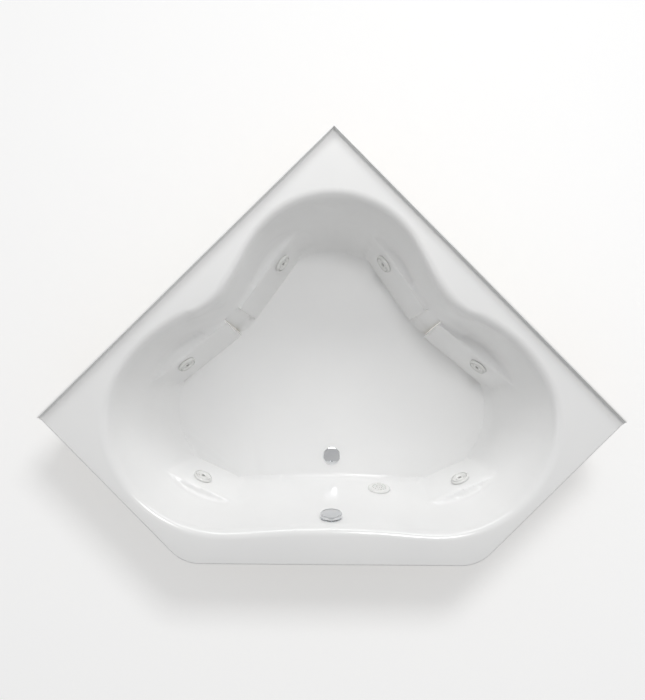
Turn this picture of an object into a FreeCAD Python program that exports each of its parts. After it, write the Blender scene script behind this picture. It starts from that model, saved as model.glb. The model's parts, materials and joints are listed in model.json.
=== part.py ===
"""Corner bath with jets: an acrylic basin in a five-sided deck with a tile flange on its two
wall sides, six jets on flat pads, a pop-up waste worked from the overflow, and below the deck
the timber frame, the pump and the water and air lines.

Millimetres, +Z up, +Y towards the room corner, +X to the right of a bather who faces the
corner. The origin lies on the ground under the middle of the bath.
"""
import FreeCAD
import Part
import Sketcher
import math
import os
import re
from types import SimpleNamespace

from FreeCAD import Placement, Rotation, Vector

UP = Vector(0, 0, 1)

# ---------------------------------------------------------------- driving dimensions
SIZES = {
    # deck, a square room corner with a straight front
    "WallLength": 1524.0,
    "ReturnLength": 757.0,
    "DeckHeight": 514.0,
    "ShellThickness": 8.0,
    "CornerRadius": 9.0,
    "FrontRadius": 150.0,
    "RollRadius": 6.0,
    "SkirtDepth": 45.0,
    "FlangeHeight": 25.0,
    "FlangeThickness": 5.0,
    "FlangeFillet": 10.0,
    # basin
    "FloorHeight": 78.0,
    "LipRadius": 40.0,
    "BossRise": 2.0,
    "BossMargin": 4.0,
    "SeatClearance": 0.45,
    "FootRadius": 25.0,
    "LedgeHeight": 290.0,
    "PadMargin": 55.0,
    "PadReach": 150.0,
    "BackPadX": 255.0,
    "BackPadY": 295.0,
    "BackPadHeading": 35.4,
    "BackPadTilt": 15.0,
    "BackPadLength": 266.0,
    "BackJetShift": -58.0,
    "SidePadX": 577.0,
    "SidePadY": -43.0,
    "SidePadHeading": 51.0,
    "SidePadTilt": 16.0,
    "SidePadLength": 307.0,
    "SideJetShift": 25.0,
    "FrontPadX": 513.0,
    "FrontPadY": -554.0,
    "FrontPadHeading": -65.4,
    "FrontPadTilt": 17.0,
    "FrontPadLength": 237.0,
    "FrontJetShift": -12.0,
    # timber frame
    "BoardThickness": 20.0,
    "BoardLength": 1040.0,
    "BoardFront": -500.0,
    "BoardSide": -70.0,
    "BoardHip": 70.0,
    "BoardBack": 380.0,
    "BoardBackWidth": 300.0,
    "BoardHipWidth": 560.0,
    "BoardChamfer": 190.0,
    "NotchMargin": 12.0,
    "RunnerWidth": 90.0,
    "RunnerSpacing": 230.0,
    "RunnerBack": 60.0,
    "BattenWidth": 40.0,
    "ReturnBattenWidth": 22.0,
    "BattenHeight": 18.0,
    "BattenInset": 12.0,
    "PostSide": 70.0,
    # jets
    "JetDrop": 72.0,
    "JetHoleRadius": 26.5,
    "JetFlangeRadius": 34.0,
    "JetFlangeThickness": 3.0,
    "JetBarrelRadius": 26.0,
    "JetBarrelLength": 62.0,
    "JetBoreRadius": 22.4,
    "JetBoreDepth": 24.0,
    "JetThroatRadius": 15.0,
    "JetWallThickness": 4.0,
    "BezelRadius": 37.5,
    "BezelRise": 9.0,
    "BezelEdge": 3.0,
    "BezelSleeveLength": 14.0,
    "BezelGrooveRadius": 28.5,
    "BezelGrooveWidth": 4.0,
    "BezelGrooveDepth": 5.0,
    "BezelMouthRadius": 23.5,
    "BezelMouthDepth": 5.0,
    "RunningGap": 0.3,
    "BallRadius": 17.5,
    "BallFront": 10.0,
    "BallBack": 9.5,
    "OrificeRadius": 8.0,
    "OrificeFlare": 12.0,
    "JetNutRadius": 36.0,
    "JetNutLength": 14.0,
    "NutLugs": 8.0,
    "NutLugRadius": 5.0,
    "NutLugRise": 3.0,
    "GasketThickness": 2.0,
    # water and air lines
    "PipeRadius": 21.0,
    "PipeWall": 2.5,
    "TeeRadius": 25.0,
    "TeeLength": 84.0,
    "TeeDepth": 50.0,
    "MeetTeeLength": 50.0,
    "MeetTeeGap": 1.2,
    "SocketDepth": 22.0,
    "HoseRadius": 8.0,
    "HoseWall": 1.5,
    "HoseTeeRadius": 11.0,
    "HoseRise": 42.0,
    "PipeClearance": 20.0,
    "LineLead": 55.0,
    # waste and overflow
    "DrainY": -456.0,
    "DrainHoleRadius": 25.0,
    "DrainFlangeRadius": 36.0,
    "DrainFlangeThickness": 3.0,
    "DrainBarrelRadius": 24.0,
    "DrainBoreRadius": 20.0,
    "DrainBarrelLength": 40.0,
    "DrainHubRadius": 6.0,
    "DrainHubDrop": 16.0,
    "SpokeCount": 3.0,
    "SpokeWidth": 3.0,
    "SpokeHeight": 6.0,
    "StemRadius": 3.0,
    "StopperRadius": 33.0,
    "StopperThickness": 3.0,
    "StopperDome": 4.0,
    "SealCoreRadius": 14.0,
    "SealDepth": 3.0,
    "SealGap": 0.5,
    "ShoeRadius": 30.0,
    "ShoeDepth": 47.0,
    "TubeRadius": 19.05,
    "TubeWall": 1.6,
    "SocketWall": 4.0,
    "WasteAxisDrop": 34.0,
    "WasteLineY": -706.0,
    "TeeTop": 96.0,
    "TeeBottom": 20.0,
    "SpigotSeat": 5.0,
    "SpigotCollar": 2.0,
    "SlipNutRadius": 29.0,
    "SlipNutLength": 18.0,
    "OverflowHeight": 430.0,
    "OverflowHoleRadius": 28.0,
    "OverflowPlateRadius": 42.0,
    "OverflowSleeveRadius": 24.0,
    "OverflowSleeveLength": 24.0,
    "OverflowCupRadius": 33.0,
    "OverflowCupLength": 50.0,
    "OverflowPlateFace": 3.0,
    "OverflowWeb": 6.0,
    "OverflowPortRadius": 3.5,
    "OverflowPortCircle": 15.0,
    "OverflowPorts": 8.0,
    "TailpieceBottom": 1.0,
    "KnobRadius": 41.0,
    "KnobThickness": 12.0,
    "KnobSkin": 2.5,
    "KnobRimWidth": 5.0,
    "KnobDish": 1.5,
    "KnobLift": 4.0,
    "KnobHubRadius": 12.0,
    "KnobShaftRadius": 8.0,
    "KnobShaftLength": 30.0,
    # suction fitting
    "SuctionX": 192.0,
    "SuctionHeight": 180.0,
    "SuctionRadius": 45.0,
    "SuctionFlangeThickness": 3.0,
    "SuctionRise": 9.0,
    "SuctionDome": 2.0,
    "SuctionBarrelRadius": 27.0,
    "SuctionBarrelLength": 80.0,
    "SuctionHoleRadius": 3.0,
    "SuctionInnerCircle": 12.6,
    "SuctionInnerHoles": 8.0,
    "SuctionOuterCircle": 26.1,
    "SuctionOuterHoles": 14.0,
    "SuctionNutRadius": 40.0,
    "SuctionNutLength": 9.8,
    "SuctionPipeRadius": 25.0,
    # pump
    "PumpAxisHeight": 92.0,
    "VoluteRadius": 66.0,
    "VoluteWidth": 62.0,
    "SuctionPortLength": 26.0,
    "VoluteWall": 6.0,
    "PortRoot": 36.0,
    "PortTop": 76.0,
    "PortDepth": 56.0,
    "RiserDepth": 26.5,
    "ImpellerRadius": 52.0,
    "ImpellerWidth": 16.0,
    "ImpellerDisc": 3.0,
    "ImpellerHubRadius": 13.0,
    "VaneCount": 6.0,
    "VaneThickness": 3.0,
    "ShaftRadius": 7.0,
    "ShaftFit": 0.05,
    "MotorRadius": 64.0,
    "MotorLength": 190.0,
    "MotorWall": 5.0,
    "EndPlateThickness": 10.0,
    "MotorFins": 24.0,
    "MotorFinHeight": 5.0,
    "FanCoverLength": 42.0,
    "FanCoverRadius": 66.0,
    "FanClearance": 15.0,
    "FanWidth": 17.0,
    "FanSlots": 16.0,
    "FanSlotStart": 23.0,
    "FanSlotEnd": 53.0,
    "BoxLength": 92.0,
    "BoxWidth": 62.0,
    "BoxHeight": 34.0,
    "GlandRadius": 9.0,
    "GlandLength": 18.0,
    "PumpBaseLength": 270.0,
    "PumpBaseWidth": 120.0,
    "PumpBaseThickness": 10.0,
    "SaddleWidth": 20.0,
    "SaddleSpan": 76.8,
}

# The basin's edge at deck level and at floor level, before its pads: half of a round-cornered
# polygon from the back middle to the front middle. Each corner has its place, its radius and
# the number of stations that its round is drawn through.
RIM = {
    "back": (0.0, 915.0, 350.0, 7),
    "hip": (436.0, 145.0, 257.0, 3),
    "shoulder": (687.0, 42.0, 516.0, 3),
    "side": (866.0, -249.0, 334.0, 4),
    "lower": (689.0, -705.0, 429.0, 5),
    "front": (0.0, -664.0, 2660.0, 7),
}
FLOOR = {
    "back": (0.0, 718.0, 285.0, 7),
    "hip": (340.0, 90.0, 200.0, 3),
    "shoulder": (575.0, -35.0, 250.0, 3),
    "side": (668.0, -240.0, 300.0, 4),
    "lower": (560.0, -565.0, 290.0, 5),
    "front": (0.0, -538.0, 3000.0, 7),
}

doc = FreeCAD.newDocument("CornerBath")
sheet = doc.addObject("Spreadsheet::Sheet", "Sizes")
for row, (name, number) in enumerate(SIZES.items(), start=1):
    sheet.set(f"A{row}", name)
    sheet.set(f"B{row}", str(number))
    sheet.setAlias(f"B{row}", name)
doc.recompute()
S = SimpleNamespace(**{name: float(sheet.get(name)) for name in SIZES})

NODES = []


# ---------------------------------------------------------------- formulas and sketches
def formula(text):
    """A formula with each size's name pointed at the sheet."""
    return re.sub(r"\b([A-Z][A-Za-z0-9]+)\b", r"Sizes.\1", str(text))


def value(text):
    """What a formula comes to now."""
    return float(sheet.evalExpression(formula(text)))


def bind(thing, path, text):
    """Tie a property to a formula."""
    thing.setExpression(path, formula(text))


def node(thing, label):
    """Name a sub-part and list it for the parts folder."""
    thing.Label = label
    NODES.append(thing)
    return thing


def place(thing, base, up=UP, right=None):
    """Stand a sub-part's own Z along up, with its own X along right."""
    side = right if right else (Vector(1, 0, 0) if abs(up.x) < 0.9 else Vector(0, 1, 0))
    thing.Placement = Placement(base, Rotation(side, Vector(), up, "ZXY"))
    return thing


def new_sketch(body, plane, tag):
    """An empty sketch on one of a body's own planes."""
    sketch = body.newObject("Sketcher::SketchObject", tag)
    sketch.AttachmentSupport = [(next(f for f in body.Origin.OriginFeatures if f.Role == plane), "")]
    sketch.MapMode = "FlatFace"
    return sketch


def pin(sketch, geometry, point, across, up):
    """Hold one point of a sketch at a pair of formulas."""
    for kind, axis, text in (("DistanceX", -2, across), ("DistanceY", -1, up)):
        if str(text) == "0":
            sketch.addConstraint(Sketcher.Constraint("PointOnObject", geometry, point, axis))
            continue
        row = sketch.addConstraint(Sketcher.Constraint(kind, -1, 1, geometry, point, value(text)))
        bind(sketch, f"Constraints[{row}]", text)


def draw(sketch, corners, arcs=None):
    """A closed line through (across, up) pairs of formulas. arcs gives the radius formula of a
    side that is an arc, with True where it bulges to the left of its direction."""
    arcs = arcs or {}
    spots = [Vector(value(a), value(b), 0) for a, b in corners]
    ends = []
    for i, start in enumerate(spots):
        end = spots[(i + 1) % len(spots)]
        if i not in arcs:
            ends.append((sketch.addGeometry(Part.LineSegment(start, end), False), 1, 2))
            continue
        radius, left = arcs[i]
        run = end - start
        side = Vector(-run.y, run.x, 0).normalize() * (1 if left else -1)
        size = value(radius)
        centre = (start + end) * 0.5 - side * math.sqrt(size**2 - run.Length**2 / 4)
        angles = [math.atan2(p.y - centre.y, p.x - centre.x) for p in (start, end)]
        first, last = reversed(angles) if left else angles
        last += 2 * math.pi if last < first else 0
        circle = Part.Circle(centre, UP, size)
        geo = sketch.addGeometry(Part.ArcOfCircle(circle, first, last), False)
        ends.append((geo, 2, 1) if left else (geo, 1, 2))
        row = sketch.addConstraint(Sketcher.Constraint("Radius", geo, size))
        bind(sketch, f"Constraints[{row}]", radius)
    for i, (geo, first, last) in enumerate(ends):
        following = ends[(i + 1) % len(ends)]
        sketch.addConstraint(
            Sketcher.Constraint("Coincident", geo, last, following[0], following[1])
        )
        pin(sketch, geo, first, *corners[i])
    return sketch


def circle(sketch, across, up, radius):
    """A circle at a pair of formulas."""
    geo = sketch.addGeometry(
        Part.Circle(Vector(value(across), value(up), 0), UP, value(radius)), False
    )
    pin(sketch, geo, 3, across, up)
    row = sketch.addConstraint(Sketcher.Constraint("Radius", geo, value(radius)))
    bind(sketch, f"Constraints[{row}]", radius)


def new_body(label):
    """A body that becomes one sub-part."""
    return node(doc.addObject("PartDesign::Body", label), label)


def turned(label, corners, arcs=None):
    """A piece turned about its own Z from a (radius, height) outline."""
    body = new_body(label)
    sketch = draw(new_sketch(body, "XZ_Plane", label + "_outline"), corners, arcs)
    turn = body.newObject("PartDesign::Revolution", label + "_turn")
    turn.Profile = sketch
    turn.ReferenceAxis = (sketch, ["V_Axis"])
    turn.Angle = 360
    return body


def padded(label, corners, height, arcs=None):
    """A flat-topped piece raised from an outline in its own XY plane."""
    body = new_body(label)
    sketch = draw(new_sketch(body, "XY_Plane", label + "_outline"), corners, arcs)
    pad = body.newObject("PartDesign::Pad", label + "_pad")
    pad.Profile = sketch
    bind(pad, "Length", height)
    return body


def cut(body, sketch, depth, upward=False):
    """Pocket a sketch into a body, downward unless upward is set."""
    pocket = body.newObject("PartDesign::Pocket", sketch.Name + "_cut")
    pocket.Profile = sketch
    pocket.Reversed = upward
    bind(pocket, "Length", depth)
    return pocket


def repeat(body, feature, count):
    """Copies of a feature evenly round the body's own Z."""
    pattern = body.newObject("PartDesign::PolarPattern", feature.Name + "_round")
    pattern.Originals = [feature]
    axis = next(f for f in body.Origin.OriginFeatures if f.Role == "Z_Axis")
    pattern.Axis = (axis, [""])
    pattern.Angle = 360
    pattern.Occurrences = count
    body.Tip = pattern
    return pattern


def feature(label, shape, position=None):
    """A sub-part whose shape is worked out here from the sheet's sizes."""
    thing = node(doc.addObject("Part::Feature", label), label)
    thing.Shape = shape
    thing.Placement = position or Placement()
    return thing


# ---------------------------------------------------------------- deck outline
# Formulas of the deck's sharp corners. The bounding box is centred on the origin, so the back
# corner stands past its half depth by what its round takes off.
BACK_Y = "((WallLength + ReturnLength) / sqrt(2) + (sqrt(2) - 1) * CornerRadius) / 2"
SIDE_X = "(WallLength / sqrt(2))"
SIDE_Y = f"({BACK_Y} - WallLength / sqrt(2))"
FRONT_X = "((WallLength - ReturnLength) / sqrt(2))"
FRONT_Y = f"({BACK_Y} - (WallLength + ReturnLength) / sqrt(2))"


def deck_corners(walls="0", returns=None, front=None):
    """The five deck corners from the back clockwise, with the wall sides, the returns and the
    front each moved inward by a distance of its own."""
    walls = f"({walls})"
    returns = f"({returns})" if returns else walls
    front = f"({front})" if front else walls
    side = (f"{SIDE_X} - ({walls} + {returns}) / sqrt(2)",
            f"{SIDE_Y} + ({returns} - {walls}) / sqrt(2)")
    nose = (f"{FRONT_X} + {front} - {returns} * sqrt(2)", f"{FRONT_Y} + {front}")
    return [
        ("0", f"{BACK_Y} - {walls} * sqrt(2)"),
        side,
        nose,
        (f"-({nose[0]})", nose[1]),
        (f"-({side[0]})", side[1]),
    ]


def deck_points(inset=0.0, height=0.0):
    """The same corners as points."""
    return [Vector(value(x), value(y), height) for x, y in deck_corners(inset)]


def rounded_slab(points, radii, thickness):
    """A flat slab over a polygon with its upright edges rounded."""
    wire = Part.makePolygon(points + [points[0]])
    slab = Part.Face(wire).extrude(UP * thickness)
    for point, radius in zip(points, radii):
        edges = [
            e for e in slab.Edges
            if e.Length > thickness - 0.001 and all(
                math.hypot(v.X - point.x, v.Y - point.y) < 0.001 for v in e.Vertexes)
        ]
        slab = slab.makeFillet(radius, edges)
    return slab


def deck_slab(inset, bottom, thickness):
    """The deck's outline moved inward, as a slab from bottom upward."""
    small = max(S.CornerRadius - inset, 1.0)
    radii = [small, small, S.FrontRadius - inset, S.FrontRadius - inset, small]
    return rounded_slab(deck_points(inset, bottom), radii, thickness)


def rolled_slab(bottom):
    """The deck's whole outline from bottom to deck height, with its top edge rolled over."""
    slab = deck_slab(0, bottom, S.DeckHeight - bottom)
    rim = [e for e in slab.Edges if min(v.Z for v in e.Vertexes) > S.DeckHeight - 0.001]
    return slab.makeFillet(S.RollRadius, rim)


# ---------------------------------------------------------------- basin
def both_halves(half):
    """The corners of a whole outline, from the back clockwise."""
    right = list(half.values())
    return right + [(-x, y, r, n) for x, y, r, n in right[-2:0:-1]]


def stations(half):
    """Points round a round-cornered outline, each with its outward normal."""
    corners = both_halves(half)
    rounds = []
    for i, (x, y, radius, count) in enumerate(corners):
        corner = Vector(x, y, 0)
        before = (corner - Vector(*corners[i - 1][:2], 0)).normalize()
        after = (Vector(*corners[(i + 1) % len(corners)][:2], 0) - corner).normalize()
        turn = math.atan2(before.x * after.y - before.y * after.x, before.dot(after))
        side = Vector(-before.y, before.x, 0) * math.copysign(1, turn)
        reach = radius * math.tan(abs(turn) / 2)
        centre = corner - before * reach + side * radius
        arc = []
        for k in range(count):
            spoke = Rotation(UP, math.degrees(turn * (k + 0.5) / count)).multVec(-side)
            outward = spoke if turn < 0 else -spoke
            arc.append((centre + spoke * radius, outward))
        rounds.append((corner - before * reach, arc, corner + after * reach, after))
    found = []
    for i, (_, arc, last, after) in enumerate(rounds):
        following = rounds[(i + 1) % len(rounds)][0]
        found += arc + [((last + following) * 0.5, Vector(-after.y, after.x, 0))]
    return found


def station_of(name):
    """The number of the middle station on a corner of the right half."""
    before = 0
    for corner, (_, _, _, count) in RIM.items():
        if corner == name:
            return before + count // 2
        before += count + 1
    raise KeyError(name)


RIM_STATIONS = stations(RIM)
FLOOR_STATIONS = stations(FLOOR)


def spacing():
    """Shared curve parameters, from the mean step between stations."""
    knots = [0.0]
    for i in range(len(RIM_STATIONS)):
        j = (i + 1) % len(RIM_STATIONS)
        steps = [(line[j][0] - line[i][0]).Length for line in (RIM_STATIONS, FLOOR_STATIONS)]
        knots.append(knots[-1] + sum(steps) / 2)
    return knots


def bend(corner, before, after, radius, steps):
    """Points on the round between two directions that meet at a corner."""
    turn = math.acos(max(-1.0, min(1.0, before.dot(after))))
    start = corner - before * radius * math.tan(turn / 2)
    side = (after - before * before.dot(after)).normalize()
    return [
        start + side * radius * (1 - math.cos(turn * k / steps))
        + before * radius * math.sin(turn * k / steps)
        for k in range(steps + 1)
    ]


# Steps round the lip and the foot, and where the wall between them has its own rings, as
# shares of its height.
ROUND_STEPS = 3
WALL_RINGS = (0.05, 0.5, 0.95)


def basin(outset, top, bottom, lip, foot):
    """The basin as a plug: rounded lip, sloping wall and rounded foot lofted in one face."""
    columns = []
    for (rim, rim_out), (floor, floor_out) in zip(RIM_STATIONS, FLOOR_STATIONS):
        high = rim + rim_out * outset + UP * top
        low = floor + floor_out * outset + UP * bottom
        down = (low - high).normalize()
        inward = Vector(down.x, down.y, 0).normalize()
        upper = bend(high, inward, down, lip, ROUND_STEPS)
        lower = bend(low, down, inward, foot, ROUND_STEPS)
        wall = [upper[-1] + (lower[0] - upper[-1]) * share for share in WALL_RINGS]
        columns.append(upper + wall + lower)
    knots = spacing()
    loops = []
    for row in reversed(range(len(columns[0]))):
        curve = Part.BSplineCurve()
        curve.interpolate(
            Points=[column[row] for column in columns], PeriodicFlag=True, Parameters=knots
        )
        loops.append(Part.Wire([curve.toShape()]))
    return Part.makeLoft(loops, True, False)


def heading(name, mirrored):
    """The level direction out of the basin behind a pad."""
    angle = math.radians(getattr(S, name + "PadHeading"))
    return Vector(math.cos(angle) * (-1 if mirrored else 1), math.sin(angle), 0)


def pad_frame(name, mirrored):
    """A pad's upper edge middle, its outward direction and the level direction along it."""
    x = getattr(S, name + "PadX") * (-1 if mirrored else 1)
    outward = heading(name, mirrored)
    along = Vector(-outward.y, outward.x, 0) * (1 if mirrored else -1)
    return Vector(x, getattr(S, name + "PadY"), S.LedgeHeight), outward, along


def pad_wedge(name, mirrored, shift):
    """What a flat pad and its ledge fill in of the basin, moved outward and down by shift."""
    middle, outward, along = pad_frame(name, mirrored)
    tilt = math.radians(getattr(S, name + "PadTilt"))
    half = getattr(S, name + "PadLength") / 2 + S.PadMargin
    deep = S.LedgeHeight - S.FloorHeight + 2 * S.ShellThickness

    def at(out, down):
        """A point of the wedge's end outline."""
        return middle - along * half + outward * out - UP * down

    edge = shift / math.cos(tilt)
    outline = [
        at(edge - shift * math.tan(tilt), shift),
        at(S.PadReach, shift),
        at(S.PadReach, deep),
        at(edge - deep * math.tan(tilt), deep),
    ]
    face = Part.Face(Part.makePolygon(outline + [outline[0]]))
    return face.extrude(along * half * 2)


PADS = [(name, mirrored) for mirrored in (False, True) for name in ("Back", "Side", "Front")]


def pad_label(name, mirrored):
    """The words that end a jet piece's name."""
    return name.lower() + ("_left" if mirrored else "_right")


def jet_frame(name, mirrored):
    """A jet's middle on its pad, its axis into the basin and the level clockwise direction."""
    middle, outward, along = pad_frame(name, mirrored)
    tilt = math.radians(getattr(S, name + "PadTilt"))
    shift = getattr(S, name + "JetShift")
    base = middle + along * shift - outward * math.tan(tilt) * S.JetDrop - UP * S.JetDrop
    axis = (UP * math.sin(tilt) - outward * math.cos(tilt)).normalize()
    return base, axis, UP.cross(axis).normalize()


def hole(base, axis, radius, depth):
    """A drill along an axis, from a little before its base to depth behind it."""
    ahead = 2 * S.ShellThickness
    return Part.makeCylinder(radius, depth + ahead, base + axis * ahead, -axis)


INNER = basin(0, S.DeckHeight, S.FloorHeight, S.LipRadius, S.FootRadius)
WALL = max(INNER.Faces, key=lambda face: face.Area)


def wall_frame(start, direction):
    """Where a fitting's flat flange lies on the hollow wall, on a line from inside the basin,
    and the wall's normal there, into the basin."""
    line = Part.makeLine(start, start + direction * S.WallLength)
    inside = INNER.common(line).Edges[0]
    end = max(inside.Vertexes, key=lambda v: (v.Point - start).Length).Point
    normal = WALL.normalAt(*WALL.Surface.parameter(end))
    normal = normal * (-1 if normal.dot(direction) > 0 else 1)
    return end + normal * S.SeatClearance, normal


def boss(base, axis, radius):
    """A flat seat for a fitting on the back of the sloping wall."""
    start = S.ShellThickness / 2
    rise = S.ShellThickness + S.BossRise - start
    return Part.makeCylinder(radius + S.BossMargin, rise, base - axis * start, -axis)


def spot_face(base, axis, radius):
    """What is cleared behind a boss for the fitting's nut."""
    seat = base - axis * (S.ShellThickness + S.BossRise)
    return Part.makeCylinder(radius + S.BossMargin, S.LipRadius, seat, -axis)


OVERFLOW, OVERFLOW_AXIS = wall_frame(Vector(0, 0, S.OverflowHeight), Vector(0, -1, 0))
SUCTION, SUCTION_AXIS = wall_frame(Vector(S.SuctionX, 0, S.SuctionHeight), Vector(0, -1, 0))
DRAIN = Vector(0, S.DrainY, S.FloorHeight)
SEAT = S.ShellThickness + S.BossRise


def flange():
    """The tile flange along both wall sides, with its inner fillet."""
    back, right, _, _, left = deck_points(0, S.DeckHeight)
    foot = S.FlangeThickness + S.FlangeFillet
    walls = []
    for end, inward in ((right, Vector(-1, -1, 0)), (left, Vector(1, -1, 0))):
        inward = inward.normalize()
        profile = [
            end - UP * S.ShellThickness,
            end + UP * S.FlangeHeight,
            end + inward * S.FlangeThickness + UP * S.FlangeHeight,
            end + inward * S.FlangeThickness + UP * S.FlangeFillet,
            end + inward * foot,
            end + inward * foot - UP * S.ShellThickness,
        ]
        centre = end + inward * foot + UP * S.FlangeFillet
        middle = centre + (-inward - UP).normalize() * S.FlangeFillet
        edges = [Part.LineSegment(a, b) for a, b in zip(profile[:3], profile[1:4])]
        edges.append(Part.Arc(profile[3], middle, profile[4]))
        edges.append(Part.LineSegment(profile[4], profile[5]))
        edges.append(Part.LineSegment(profile[5], profile[0]))
        wire = Part.Wire([edge.toShape() for edge in edges])
        walls.append(Part.Face(wire).extrude(back - end))
    both = walls[0].fuse(walls[1])
    reach = deck_slab(0, S.DeckHeight - S.ShellThickness, S.ShellThickness + S.FlangeHeight)
    return both.common(reach)


def skirt():
    """The turned-down edge along the returns and the front."""
    outer = rolled_slab(S.DeckHeight - S.SkirtDepth)
    inner = deck_slab(S.ShellThickness, S.DeckHeight - S.SkirtDepth, S.SkirtDepth)
    band = outer.cut(inner)
    _, right, _, _, left = deck_points(0, 0)
    reach = Part.makeBox(
        right.x - left.x, S.WallLength, S.DeckHeight, Vector(left.x, right.y - S.WallLength, 0)
    )
    return band.common(reach)


def tub_shell():
    """The moulded shell: deck, skirt and flange round the basin, with its holes."""
    wall = S.ShellThickness
    under = S.DeckHeight - wall
    outer = basin(
        wall, under, S.FloorHeight - wall, S.LipRadius - wall, S.FootRadius + wall
    )
    inner = INNER
    for name, mirrored in PADS:
        outer = outer.cut(pad_wedge(name, mirrored, wall))
        inner = inner.cut(pad_wedge(name, mirrored, 0))
    solid = rolled_slab(under).fuse([skirt(), flange(), outer]).removeSplitter()
    solid = solid.cut(inner)
    fittings = (
        (OVERFLOW, OVERFLOW_AXIS, S.OverflowCupRadius),
        (SUCTION, SUCTION_AXIS, S.SuctionNutRadius),
    )
    solid = solid.fuse([boss(*fitting) for fitting in fittings])
    solid = solid.cut([spot_face(*fitting) for fitting in fittings])
    drills = [
        hole(base, axis, S.JetHoleRadius, 4 * wall)
        for base, axis, _ in (jet_frame(*pad) for pad in PADS)
    ]
    drills.append(hole(DRAIN, UP, S.DrainHoleRadius, 2 * wall))
    drills.append(hole(OVERFLOW, OVERFLOW_AXIS, S.OverflowHoleRadius, 3 * wall))
    drills.append(hole(SUCTION, SUCTION_AXIS, S.SuctionBarrelRadius, 3 * wall))
    return solid.cut(drills)


feature("tub_shell", tub_shell())


# ---------------------------------------------------------------- timber frame
def base_board():
    """The board bonded under the basin floor, with its front notched round the waste."""
    notch = "ShoeRadius + NotchMargin"
    right = [
        (notch, f"DrainY + {notch}"),
        (notch, "BoardFront"),
        ("BoardLength / 2 - BoardChamfer", "BoardFront"),
        ("BoardLength / 2", "BoardFront + BoardChamfer"),
        ("BoardLength / 2", "BoardSide"),
        ("BoardHipWidth / 2", "BoardHip"),
        ("BoardBackWidth / 2", "BoardBack"),
    ]
    left = [(f"-({x})", y) for x, y in reversed(right)]
    board = padded("base_board", right + left, "BoardThickness")
    bind(board, "Placement.Base.z", "FloorHeight - ShellThickness - BoardThickness")


def base_runners():
    """Two bearers under the board, front to back."""
    for label, sign in (("base_runner_left", "-1"), ("base_runner_right", "1")):
        runner = node(doc.addObject("Part::Box", label), label)
        bind(runner, "Length", "RunnerWidth")
        bind(runner, "Width", "RunnerBack - BoardFront")
        bind(runner, "Height", "FloorHeight - ShellThickness - BoardThickness")
        bind(runner, "Placement.Base.x", f"{sign} * RunnerSpacing - RunnerWidth / 2")
        bind(runner, "Placement.Base.y", "BoardFront")


def deck_battens():
    """Mitred battens bonded under the deck, one along each side."""
    outset = "ShellThickness + BattenInset"
    outer = deck_corners(outset)
    inner = deck_corners(
        f"{outset} + BattenWidth", f"{outset} + ReturnBattenWidth", f"{outset} + BattenWidth"
    )
    labels = ("back_right", "right_return", "front", "left_return", "back_left")
    for i, label in enumerate(labels):
        j = (i + 1) % len(labels)
        batten = padded(
            f"deck_batten_{label}", [outer[i], outer[j], inner[j], inner[i]], "BattenHeight"
        )
        bind(batten, "Placement.Base.z", "DeckHeight - ShellThickness - BattenHeight")


def corner_posts():
    """Posts from the ground to the battens at the back and the two wall ends."""
    reach = "(ShellThickness + BattenInset + PostSide / 2) * sqrt(2)"
    spots = {
        "back": ("0", f"{BACK_Y} - {reach}"),
        "right": (f"{SIDE_X} - {reach}", SIDE_Y),
        "left": (f"-({SIDE_X} - {reach})", SIDE_Y),
    }
    for label, (x, y) in spots.items():
        post = node(doc.addObject("Part::Prism", label + "_post"), label + "_post")
        post.Polygon = 4
        bind(post, "Circumradius", "PostSide / sqrt(2)")
        bind(post, "Height", "DeckHeight - ShellThickness - BattenHeight")
        bind(post, "Placement.Base.x", x)
        bind(post, "Placement.Base.y", y)


def front_posts():
    """Posts under the front batten, inside the rounded front corners."""
    for label, sign in (("front_right_post", "1"), ("front_left_post", "-1")):
        post = node(doc.addObject("Part::Box", label), label)
        bind(post, "Length", "PostSide")
        bind(post, "Width", "BattenWidth")
        bind(post, "Height", "DeckHeight - ShellThickness - BattenHeight")
        bind(post, "Placement.Base.x",
             f"{sign} * ({FRONT_X} - FrontRadius) - PostSide / 2")
        bind(post, "Placement.Base.y", f"{FRONT_Y} + ShellThickness + BattenInset")


base_board()
base_runners()
deck_battens()
corner_posts()
front_posts()


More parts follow.
